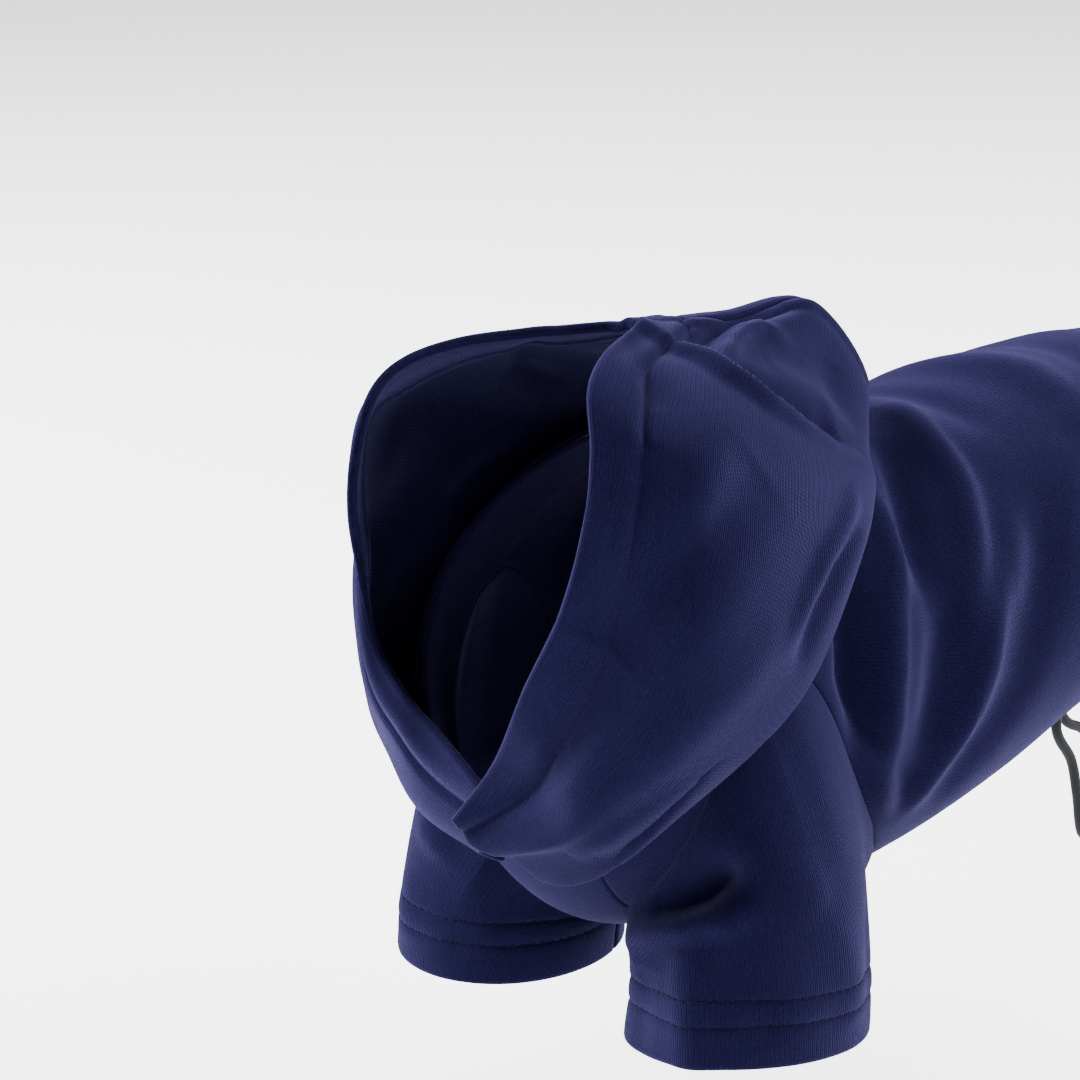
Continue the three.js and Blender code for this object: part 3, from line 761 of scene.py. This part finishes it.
def at_lengths(run, wanted):
    """For each column of growing lengths, the fractional row where a wanted length is reached."""
    rows, columns = run.shape
    offset = np.arange(columns) * (run.max() + 10)
    known = (run + offset).T.ravel()
    asked = (wanted + offset).T.ravel()
    position = np.interp(asked, known, np.arange(rows * columns, dtype=float))
    return (position.reshape(columns, -1) - (np.arange(columns) * rows)[:, None]).T


def stitch_dip(away):
    """A narrow trough under each of the two stitch rows of a hem, by the distance from its edge."""
    return -0.5 * sum(bell(away - row, 0.75) for row in HEM_ROWS) + 0.18 * bell(away - sum(HEM_ROWS) / 2, 2.2)


print("hem rows at", HEM_ROWS, "mm from an edge")

# %% Sleeves


def sleeve(side, name):
    """Rings at even lengths down the lines, closer at the hem; open along the seam under the arm."""
    lines = SLEEVE_LINES[side]
    roll = FRONT_STEPS + ARM_STEPS * 11 // 12
    order = np.concatenate([np.roll(np.arange(lines.shape[1]), -roll), [roll]])
    fine = on_lines(lines[:, None], np.linspace(0, 1, 121)[:, None].repeat(lines.shape[1], 1))
    run = run_along(fine, 0)
    total = run[-1]
    above = shares(60, 34, True, False)[:, None] * (total - CUFF_STEPS[-1])
    below = total - CUFF_STEPS[::-1][1:, None]
    wanted = np.concatenate([above, below])
    t = at_lengths(run, wanted) / 120
    points = on_lines(lines[:, None], t)
    around = np.roll(points, -1, axis=1) - np.roll(points, 1, axis=1)
    down = np.gradient(points, axis=0)
    through = side * unit(np.cross(around, down))
    blend = bell(wanted, 3.0)[..., None]
    through = unit(through * (1 - blend) + SEAM_THROUGH[side][None] * blend)
    away = total - wanted
    height = crease_height(points, SLEEVE_CREASES[side]) * np.clip(wanted / 5, 0, 1) + stitch_dip(away)
    points = points + through * height[..., None]
    around = np.roll(points, -1, axis=1) - np.roll(points, 1, axis=1)
    through = side * unit(np.cross(around, np.gradient(points, axis=0)))
    through = unit(through * (1 - blend) + SEAM_THROUGH[side][None] * blend)
    inner = HALF + WALL * np.clip((HEM_DEPTH - away) / 0.8, 0, 1)
    points, through, inner, wanted = points[:, order], through[:, order], inner[:, order], wanted[:, order]
    part = wanted / total[order]
    close, far = (loop_share(lines[0], even)[order] for even in (False, True))
    share = np.unwrap((close * (1 - part) + far * part) * 2 * np.pi, axis=1) / (2 * np.pi)
    knit = np.stack([share * 182, wanted], -1)
    cloth = Cloth()
    cloth.fill(cloth.add(points, through, inner), knit)
    return cloth.shell(name), points, through


sleeve_left, left_points, left_through = sleeve(1, "jersey_sleeve_left")
sleeve_right, right_points, right_through = sleeve(-1, "jersey_sleeve_right")

# %% [markdown]
# ## Back and chest panels
# The trunk is a tube of two cut pieces that meet in side seams under the arms. The back panel goes round
# most of the body, with a scoop on each side for the armholes; the chest panel is the narrow strip between the
# legs. Both are patches of the same trunk surface, so only the limits of the turn differ.

# %% Back panel
REAR_STEPS = 58
rear = HEM_ROW - REAR_STATION


def hem_stations(fine_rows):
    """Stations from the armhole's rear tip to the hem; the last 20 mm are sampled for stitches and lip."""
    millimetres = CUFF_STEPS[::-1] * 1.15
    close = HEM_ROW - millimetres / 30
    return np.concatenate([np.linspace(REAR_STATION, close[0], fine_rows + 1)[1:-1], close])


def hem_finish(points, through):
    """Stitch troughs and the second layer of a turned hem, by the distance along each column to the edge."""
    run = run_along(points, 0)
    away = run[-1] - run
    moved = points + through * stitch_dip(away)[..., None]
    return moved, HALF + WALL * np.clip((HEM_DEPTH - away) / 0.8, 0, 1)


def back_panel():
    """A band before the armholes and the back behind them, on the trunk surface, sharing one row."""
    cloth = Cloth()
    stations = arm_stations()
    top = armhole_turn(1, stations)
    low = armhole_turn(2, FRONT_ROW)
    across = 2 * shares(230, 118) - 1
    flank_share = shares(52, 26, False, True)[1:]
    neck = shares(22, 14, True, True)
    rows = np.concatenate([stations, hem_stations(REAR_STEPS)])
    limit = np.concatenate([top, np.radians(spline(TRUNK[:, SEAM_COLUMN], rows[len(stations):]))])
    u = limit[:, None] * across
    s = np.broadcast_to(rows[:, None], u.shape)
    points = trunk_at(s, u)
    through = trunk_normal(s, u)
    edge_away = (1 - np.abs(across)) * 115
    for side, column in ((-1, 0), (1, len(across) - 1)):
        shared = SEAM_THROUGH[side][(len(LOOP_S) - np.arange(ARM_STEPS + 1)) % len(LOOP_S)]
        near = (bell(edge_away, 3.0) * (np.sign(across) == side))[None, :, None]
        through[:ARM_STEPS + 1] = unit(through[:ARM_STEPS + 1] * (1 - near) + shared[:, None] * near)
    hem_from = ARM_STEPS + REAR_STEPS // 2
    inner = np.full(u.shape, HALF)
    points[hem_from:], inner[hem_from:] = hem_finish(points[hem_from:], through[hem_from:])
    run_s = run_along(points, 0)
    run_u = run_along(points, 1)
    run_u = run_u - run_u[:, [len(across) // 2]]
    knit = np.stack([run_u, run_s], -1)
    numbers = cloth.add(points, through, inner)
    cloth.fill(numbers, knit)
    rear_points, rear_through = points[hem_from:], through[hem_from:]

    front_s = neck
    seam = np.radians(spline(TRUNK[:, SEAM_COLUMN], front_s))
    seam[-1] = low
    flank = top[0] + (seam[:, None] - top[0]) * flank_share
    u = np.concatenate([-flank[:, ::-1], np.broadcast_to(top[0] * across, (len(front_s), len(across))), flank], 1)
    s = np.broadcast_to(front_s[:, None], u.shape)
    points = trunk_at(s, u)
    through = trunk_normal(s, u)
    edge = np.interp(flank[-1], LOOP_U[:FRONT_STEPS + 1], np.arange(FRONT_STEPS + 1))
    place = np.clip(np.round(edge).astype(int), 0, FRONT_STEPS)
    near = bell((1 - front_s) * 22, 3.0)[:, None, None]
    wide = len(flank_share)
    right = SEAM_THROUGH[1][place][None]
    left = SEAM_THROUGH[-1][place[::-1]][None]
    through[:, -wide:] = unit(through[:, -wide:] * (1 - near) + right * near)
    through[:, :wide] = unit(through[:, :wide] * (1 - near) + left * near)
    run_s = run_along(points, 0)
    run_s = run_s - run_s[-1]
    run_u = run_along(points, 1)
    run_u = run_u - run_u[:, [u.shape[1] // 2]]
    numbers_front = cloth.add(points[:-1], through[:-1], HALF)
    sides_left = cloth.add(points[-1:, :wide], through[-1:, :wide], HALF)
    sides_right = cloth.add(points[-1:, -wide:], through[-1:, -wide:], HALF)
    last = np.concatenate([sides_left, numbers[:1], sides_right], 1)
    cloth.fill(np.concatenate([numbers_front, last]), np.stack([run_u, run_s], -1))
    return cloth.shell("jersey_back"), rear_points, rear_through


back, back_points, back_through = back_panel()

# %% Chest panel


def chest_panel():
    """The strip between the legs, from the neck seam to the belly hem; its turn runs round the breastbone."""
    stations = arm_stations()
    neck = shares(22, 10, True, True)[:-1]
    rows = np.concatenate([neck, stations, hem_stations(REAR_STEPS)])
    edge = np.radians(spline(TRUNK[:, SEAM_COLUMN], rows))
    edge[len(neck):len(neck) + ARM_STEPS + 1] = armhole_turn(2, stations)
    across = 2 * shares(58, 30) - 1
    u = np.pi + (np.pi - edge)[:, None] * across
    s = np.broadcast_to(rows[:, None], u.shape)
    points = trunk_at(s, u)
    through = trunk_normal(s, u)
    away = (1 - np.abs(across)) * 29
    armhole = slice(len(neck), len(neck) + ARM_STEPS + 1)
    for side in (-1, 1):
        shared = SEAM_THROUGH[side][FRONT_STEPS + np.arange(ARM_STEPS + 1)]
        near = (bell(away, 3.0) * (np.sign(across) == -side))[None, :, None]
        through[armhole] = unit(through[armhole] * (1 - near) + shared[:, None] * near)
    hem_from = len(neck) + ARM_STEPS + REAR_STEPS // 2
    inner = np.full(u.shape, HALF)
    points[hem_from:], inner[hem_from:] = hem_finish(points[hem_from:], through[hem_from:])
    run_u = run_along(points, 1)
    knit = np.stack([run_u - run_u[:, [len(across) // 2]], run_along(points, 0)], -1)
    cloth = Cloth()
    cloth.fill(cloth.add(points, through, inner), knit)
    return cloth.shell("jersey_chest"), points[hem_from:], through[hem_from:]


chest, chest_points, chest_through = chest_panel()

# %% [markdown]
# ## Hem stitches
# Two needles sew a hem at once, 6 mm apart. Each stitch is a short piece of thread that dives into the cloth at
# both ends. One stitch is a small tube of a few dozen faces; numpy lays copies of it along the rows.

# %% Stitches
STITCH_PITCH = 2.65
STITCH_LENGTH = 2.1
THREAD_RADIUS = 0.27


def line_from_edge(points, through, distance):
    """A line over the outer face at a distance from the last row of a grid: point and normal per column."""
    run = run_along(points, 0)
    position = at_lengths(run, run[-1:] - distance)[0]
    row = np.clip(np.floor(position).astype(int), 0, len(points) - 2)
    f = (position - row)[:, None]
    column = np.arange(points.shape[1])
    place = points[row, column] * (1 - f) + points[row + 1, column] * f
    normal = unit(through[row, column] * (1 - f) + through[row + 1, column] * f)
    return place + normal * HALF, normal


def stitch_template():
    """Six-sided thread: its radius swells in the middle and its ends sink by the square of the way out."""
    along = np.array([-1, -0.82, -0.4, 0.4, 0.82, 1])
    radius = THREAD_RADIUS * np.array([0.3, 0.8, 1, 1, 0.8, 0.3])
    turn = np.linspace(0, 2 * np.pi, 6, endpoint=False)
    x = np.broadcast_to(along[:, None] * STITCH_LENGTH / 2, (6, 6))
    y = radius[:, None] * np.cos(turn)
    z = radius[:, None] * np.sin(turn) - 0.42 * along[:, None] ** 4 + 0.02
    i, j = np.meshgrid(np.arange(5), np.arange(6), indexing="ij")
    k = (j + 1) % 6
    faces = np.stack([i * 6 + j, (i + 1) * 6 + j, (i + 1) * 6 + k, i * 6 + k], -1).reshape(-1, 4)
    ends = np.array([[0, 1, 2, 3], [0, 3, 4, 5], [30, 33, 32, 31], [30, 35, 34, 33]])
    return np.stack([x, y, z], -1).reshape(-1, 3), np.concatenate([faces, ends])


def stitch_rows(name, grids):
    """Copies of the stitch at even steps along each hem line, lying along it on the outer face."""
    shape, faces = stitch_template()
    centres, forwards, ups = [], [], []
    for points, through in grids:
        for distance in HEM_ROWS:
            line, normal = line_from_edge(points, through, distance)
            run = np.concatenate([[0], np.linalg.norm(np.diff(line, axis=0), axis=1).cumsum()])
            count = int(run[-1] / STITCH_PITCH)
            at = (np.arange(count) + 0.5) * run[-1] / count
            place = np.stack([np.interp(at, run, line[:, k]) for k in range(3)], -1)
            ahead = np.stack([np.interp(at + 0.5, run, line[:, k]) for k in range(3)], -1)
            behind = np.stack([np.interp(at - 0.5, run, line[:, k]) for k in range(3)], -1)
            centres.append(place)
            forwards.append(unit(ahead - behind))
            ups.append(unit(np.stack([np.interp(at, run, normal[:, k]) for k in range(3)], -1)))
    centre, forward, up = (np.concatenate(part) for part in (centres, forwards, ups))
    side = unit(np.cross(up, forward))
    frame_of = np.stack([forward, side, np.cross(forward, side)], 1)
    points = centre[:, None] + shape @ frame_of
    numbers = faces[None] + (np.arange(len(centre)) * len(shape))[:, None, None]
    piece = make_piece(name, points.reshape(-1, 3), numbers.reshape(-1, 4), None, THREAD)
    print(name, "has", len(centre), "stitches")
    return piece


left_stitches = stitch_rows("stitches_sleeve_left", [(left_points, left_through)])
right_stitches = stitch_rows("stitches_sleeve_right", [(right_points, right_through)])
back_stitches = stitch_rows("stitches_back_hem", [(back_points, back_through)])
chest_stitches = stitch_rows("stitches_belly_hem", [(chest_points, chest_through)])

# %% [markdown]
# ## Hood
# The hood is two halves sewn along the middle of the crown. It has slid off the head, so it lies round the
# neck like a deep cowl: an edge that stands up, a face that falls outwards, a fold, and a layer that goes
# back under to the neck seam. Its surface is a net of listed points with smooth curves both ways.

# %% Hood table
HOOD_TURN = np.array([
    171, 160, 146, 128, 108, 86, 60, 40, 20, 0, -20, -40, -60, -86, -108, -128, -146, -160, -176,
])
HOOD_TUCK = np.array([
    0.3, 0.35, 0.4, 0.5, 0.7, 0.9, 1, 1.1, 1.3, 1.5, 1.3, 1.1, 1, 0.9, 0.7, 0.5, 0.4, 0.3, 0.2,
])
HOOD_LIFT = np.array([3, 3.5, 4, 5, 6, 6, 6, 6, 5.5, 5, 5.5, 6, 6, 6, 6, 5, 4, 3.5, 3])
HOOD_NET = np.array([
    # edge, band, swell, crown, fold
    [[-2, -123, -79], [-1, -121, -83], [1, -119, -86], [4, -116, -88], [7, -112, -89]],
    [[8, -119, -63], [16, -115, -70], [21, -116, -74], [24, -115, -79], [24, -110, -82]],
    [[24, -124, -40], [26, -115, -57], [34, -116, -61], [38, -113, -67], [37, -106, -74]],
    [[36, -123, -18], [40, -114, -31], [48, -110, -41], [53, -101, -51], [50, -88, -61]],
    [[41, -121, 4], [48, -115, -8], [59, -106, -18], [62, -89, -31], [57, -67, -45]],
    [[42, -120, 19], [49, -111, 14], [62, -100, 4], [61, -72, -9], [54, -46, -19]],
    [[37, -116, 31], [46, -108, 24], [57, -92, 18], [54, -59, 5], [45, -31, -6]],
    [[28, -103, 36], [31, -91, 32], [38, -73, 26], [38, -48, 14], [33, -20, -1]],
    [[15, -80, 37], [17, -67, 30], [19, -52, 26], [18, -28, 18], [21, -7, 3]],
    [[1, -68, 33], [1, -53, 31], [1, -34, 30], [2, -8, 29], [9, 4, 8]],
    [[-13, -77, 31], [-15, -65, 27], [-18, -50, 23], [-18, -25, 18], [-9, 3, 6]],
    [[-27, -99, 29], [-30, -88, 24], [-38, -72, 21], [-37, -48, 13], [-32, -20, -1]],
    [[-37, -112, 22], [-42, -102, 16], [-54, -90, 10], [-52, -61, 1], [-44, -33, -7]],
    [[-42, -117, 8], [-49, -110, 6], [-58, -97, -3], [-57, -74, -14], [-52, -47, -20]],
    [[-44, -119, -14], [-49, -113, -24], [-58, -106, -30], [-59, -92, -39], [-58, -69, -46]],
    [[-41, -115, -44], [-43, -115, -55], [-50, -110, -60], [-54, -104, -66], [-53, -90, -68]],
    [[-32, -113, -57], [-32, -114, -69], [-38, -111, -76], [-43, -107, -80], [-42, -100, -84]],
    [[-20, -111, -66], [-20, -113, -77], [-24, -113, -84], [-27, -111, -88], [-27, -107, -91]],
    [[4, -114, -76], [2, -113, -82], [-1, -113, -87], [-3, -112, -90], [-4, -111, -92]],
], dtype=float)
CENTRE_ROW = 9
NECK_COLUMN = 6
SEAM_GAP = 0.3


def hood_net():
    """The table with two more columns: the layer tucked under, and the neck seam, both on the trunk."""
    u = np.radians(HOOD_TURN.astype(float))
    normal = trunk_normal(HOOD_TUCK, u)
    under = trunk_at(HOOD_TUCK, u) + normal * HOOD_LIFT[:, None]
    seam = trunk_at(0.12 + 0 * u, u) + trunk_normal(0.12 + 0 * u, u) * (WALL + 2 * SEAM_GAP)
    return np.concatenate([HOOD_NET, under[:, None], seam[:, None]], axis=1)


HOOD_POINTS = hood_net()
print("hood net of", HOOD_POINTS.shape[:2], "points")

# %% Hood creases
HOOD_CREASES = [
    ([(10, -88, 39), (20, -80, 34), (29, -75, 30), (37, -73, 27), (43, -66, 21), (45, -56, 15), (44, -45, 9),
      (41, -33, 4)], 2.8, 3.6),
    ([(28, -65, 26), (34, -59, 22), (37, -50, 16), (38, -42, 11), (36, -33, 7)], 6, -5.6),
    ([(31, -71, 28), (23, -60, 27), (16, -50, 28), (12, -42, 29), (11, -35, 29), (15, -28, 26)], 2.8, 3.2),
    ([(20, -70, 29), (13, -58, 28), (7, -46, 29), (4, -37, 30), (4, -28, 30), (4, -17, 30)], 3.2, -4.4),
    ([(52, -47, -3), (57, -56, -8), (60, -64, -12), (62, -72, -20), (62, -77, -28)], 3.2, 2.2),
    ([(55, -46, -10), (58, -55, -16), (61, -65, -25), (61, -72, -35)], 3.6, -2.8),
    ([(62, -84, 12), (63, -95, 6), (61, -105, -2), (55, -111, -11), (50, -114, -18), (42, -115, -28)], 10, -4.0),
    ([(20, -90, 36), (30, -94, 34), (38, -98, 30), (44, -102, 24)], 4, -1.2),
    ([(60, -80, -22), (58, -90, -34), (52, -100, -44), (44, -108, -54)], 7, 1.4),
    ([(34, -30, 3), (24, -20, 9), (14, -14, 17)], 6, -1.4),
    ([(24, -44, 24), (28, -32, 16), (32, -22, 6)], 7, 1.4),
    ([(24, -109, -82), (38, -106, -74), (50, -94, -60)], 4.5, 1.5),
    ([(27, -104, -82), (36, -98, -76)], 3.6, -2.0),
    ([(-20, -80, 28), (-34, -74, 22), (-44, -64, 14), (-46, -48, 8)], 4, 2.2),
    ([(-18, -60, 22), (-28, -52, 18), (-34, -40, 12)], 6, -1.8),
    ([(-54, -52, -8), (-58, -64, -14), (-59, -76, -22)], 4, 1.8),
    ([(-56, -46, -14), (-59, -58, -24), (-59, -70, -36)], 4, -1.8),
    ([(-60, -88, 0), (-58, -98, -10), (-52, -108, -22), (-46, -114, -34)], 8, -2.2),
    ([(-58, -84, -34), (-54, -96, -48), (-46, -106, -60)], 6, 1.5),
]
GROOVE = 1.0
WELT = 2.6


def hood_at(r, c):
    """Spline through the net, first along its columns, then along its rows."""
    columns = np.moveaxis(spline(np.moveaxis(HOOD_POINTS, 1, 0), c), 0, 1)
    return spline(columns, r)


HOOD_STEPS = 215


def hood_half(from_row, to_row, name):
    """A grid of the hood's net with creases, a groove where the edge's hem ends and a welt beside the crown seam."""
    rows = from_row + (to_row - from_row) * shares(310, HOOD_STEPS)
    fine_c = np.concatenate([
        shares(14, 12, True, False) * 0.9, np.linspace(0.91, 1.12, 9)[1:], np.linspace(1.14, 3, 42),
        np.linspace(3.04, 4.6, 44), np.linspace(4.66, 6 - 0.1, 22), 6 - 0.1 * (1 - shares(4, 0, False, True)[1:]),
    ])
    points = hood_at(rows, fine_c)
    through = unit(np.cross(np.gradient(points, axis=1), np.gradient(points, axis=0)))
    height = crease_height(points, HOOD_CREASES)
    across = run_along(points, 1)
    band = np.array([np.interp(GROOVE, fine_c, line) for line in across])
    height += -1.0 * bell(across - band[:, None], 1.5) + 0.5 * bell(across - band[:, None] + 4.5, 3.2)
    away = np.minimum(run_along(points, 0), run_along(points[::-1], 0)[::-1])
    centre = run_along(points[::-1], 0)[::-1] if to_row == CENTRE_ROW else run_along(points, 0)
    height += 0.6 * bell(centre - WELT, 1.5) - 0.3 * bell(centre - 5.4, 1.6)
    fade = np.clip((NECK_COLUMN - 0.2 - fine_c) / 1.2, 0, 1)
    points = points + through * (height * fade)[..., None]
    if to_row == CENTRE_ROW:
        points[-1, :, 0] = hood_at(np.array([float(CENTRE_ROW)]), fine_c)[0, :, 0]
    else:
        points[0, :, 0] = hood_at(np.array([float(CENTRE_ROW)]), fine_c)[0, :, 0]
    through = unit(np.cross(np.gradient(points, axis=1), np.gradient(points, axis=0)))
    inner = HALF + WALL * np.clip((band[:, None] - across) / 0.8, 0, 1)
    along = run_along(points, 0)
    along = along - along[-1] if to_row == CENTRE_ROW else along
    knit = np.stack([across, along], -1)
    cloth = Cloth()
    cloth.fill(cloth.add(points, through, inner), knit)
    return cloth.shell(name)


hood_left = hood_half(0, CENTRE_ROW, "jersey_hood_left")
hood_right = hood_half(CENTRE_ROW, len(HOOD_TURN) - 1, "jersey_hood_right")

# %% [markdown]
# ## Floor and light
# A pale floor and large soft lamps, as in a product studio. The key light comes from the upper left of
# the camera, a second one from behind on the right, and the pale surroundings do the rest.

# %% Stage
FLOOR = -0.205


def soft_lamp(name, place, target, size, power):
    """A square area lamp that faces a target."""
    lamp = bpy.data.lights.new(name, "AREA")
    lamp.size = size
    lamp.energy = power
    shown = bpy.data.objects.new(name, lamp)
    shown.location = place
    look = np.array(target, dtype=float) - np.array(place, dtype=float)
    yaw = math.atan2(look[1], look[0]) - math.pi / 2
    pitch = math.atan2(look[2], math.hypot(look[0], look[1])) + math.pi / 2
    shown.rotation_euler = (pitch, 0, yaw)
    bpy.context.collection.objects.link(shown)
    return shown


floor_mesh = bpy.data.meshes.new("floor")
floor_mesh.from_pydata([(-6, -6, FLOOR), (6, -6, FLOOR), (6, 6, FLOOR), (-6, 6, FLOOR)], [], [(0, 1, 2, 3)])
floor = bpy.data.objects.new("floor", floor_mesh)
bpy.context.collection.objects.link(floor)
floor_paint = bpy.data.materials.new("pale floor")
floor_paint.use_nodes = True
floor_paint.node_tree.nodes["Principled BSDF"].inputs["Base Color"].default_value = (0.95, 0.96, 0.98, 1)
floor_paint.node_tree.nodes["Principled BSDF"].inputs["Roughness"].default_value = 0.9
floor_paint.node_tree.nodes["Principled BSDF"].inputs["Emission Color"].default_value = (0.97, 0.98, 1, 1)
floor_paint.node_tree.nodes["Principled BSDF"].inputs["Emission Strength"].default_value = 0.9
floor_mesh.materials.append(floor_paint)

MIDDLE = (0, -0.03, -0.05)
soft_lamp("key light", (-1.25, -0.95, 1.1), MIDDLE, 0.8, 160)
soft_lamp("rear light", (1.2, 1.35, 0.9), MIDDLE, 0.8, 75)
soft_lamp("top light", (0.2, 0.9, 2.0), MIDDLE, 1.4, 80)
world = bpy.data.worlds.new("studio")
world.use_nodes = True
world.node_tree.nodes["Background"].inputs["Color"].default_value = (0.93, 0.96, 1.0, 1)
world.node_tree.nodes["Background"].inputs["Strength"].default_value = 0.5
bpy.context.scene.world = world
print("stage and", len(bpy.data.lights), "lamps")

# %% [markdown]
# ## What each piece stands for
# Each shell takes the place of one solid. Its flat size is the rectangle that the piece was cut from and the area
# of the cut, hem allowance included, measured on the middle surface in the shape in which it hangs.

CUTS = [
    # piece, node, width, length, area in square metres, sewn on it
    (back, "back_panel", 0.290, 0.245, 0.0590, [back_stitches]),
    (chest, "chest_panel", 0.080, 0.232, 0.0128, [chest_stitches]),
    (sleeve_left, "sleeve_left", 0.200, 0.086, 0.0118, [left_stitches]),
    (sleeve_right, "sleeve_right", 0.200, 0.090, 0.0126, [right_stitches]),
    (hood_left, "hood_left", 0.245, 0.135, 0.0210, []),
    (hood_right, "hood_right", 0.245, 0.125, 0.0190, []),
]
for piece, node, width, length, area, sewn in CUTS:
    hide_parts(node)
    print(piece.name, "stands for", node)
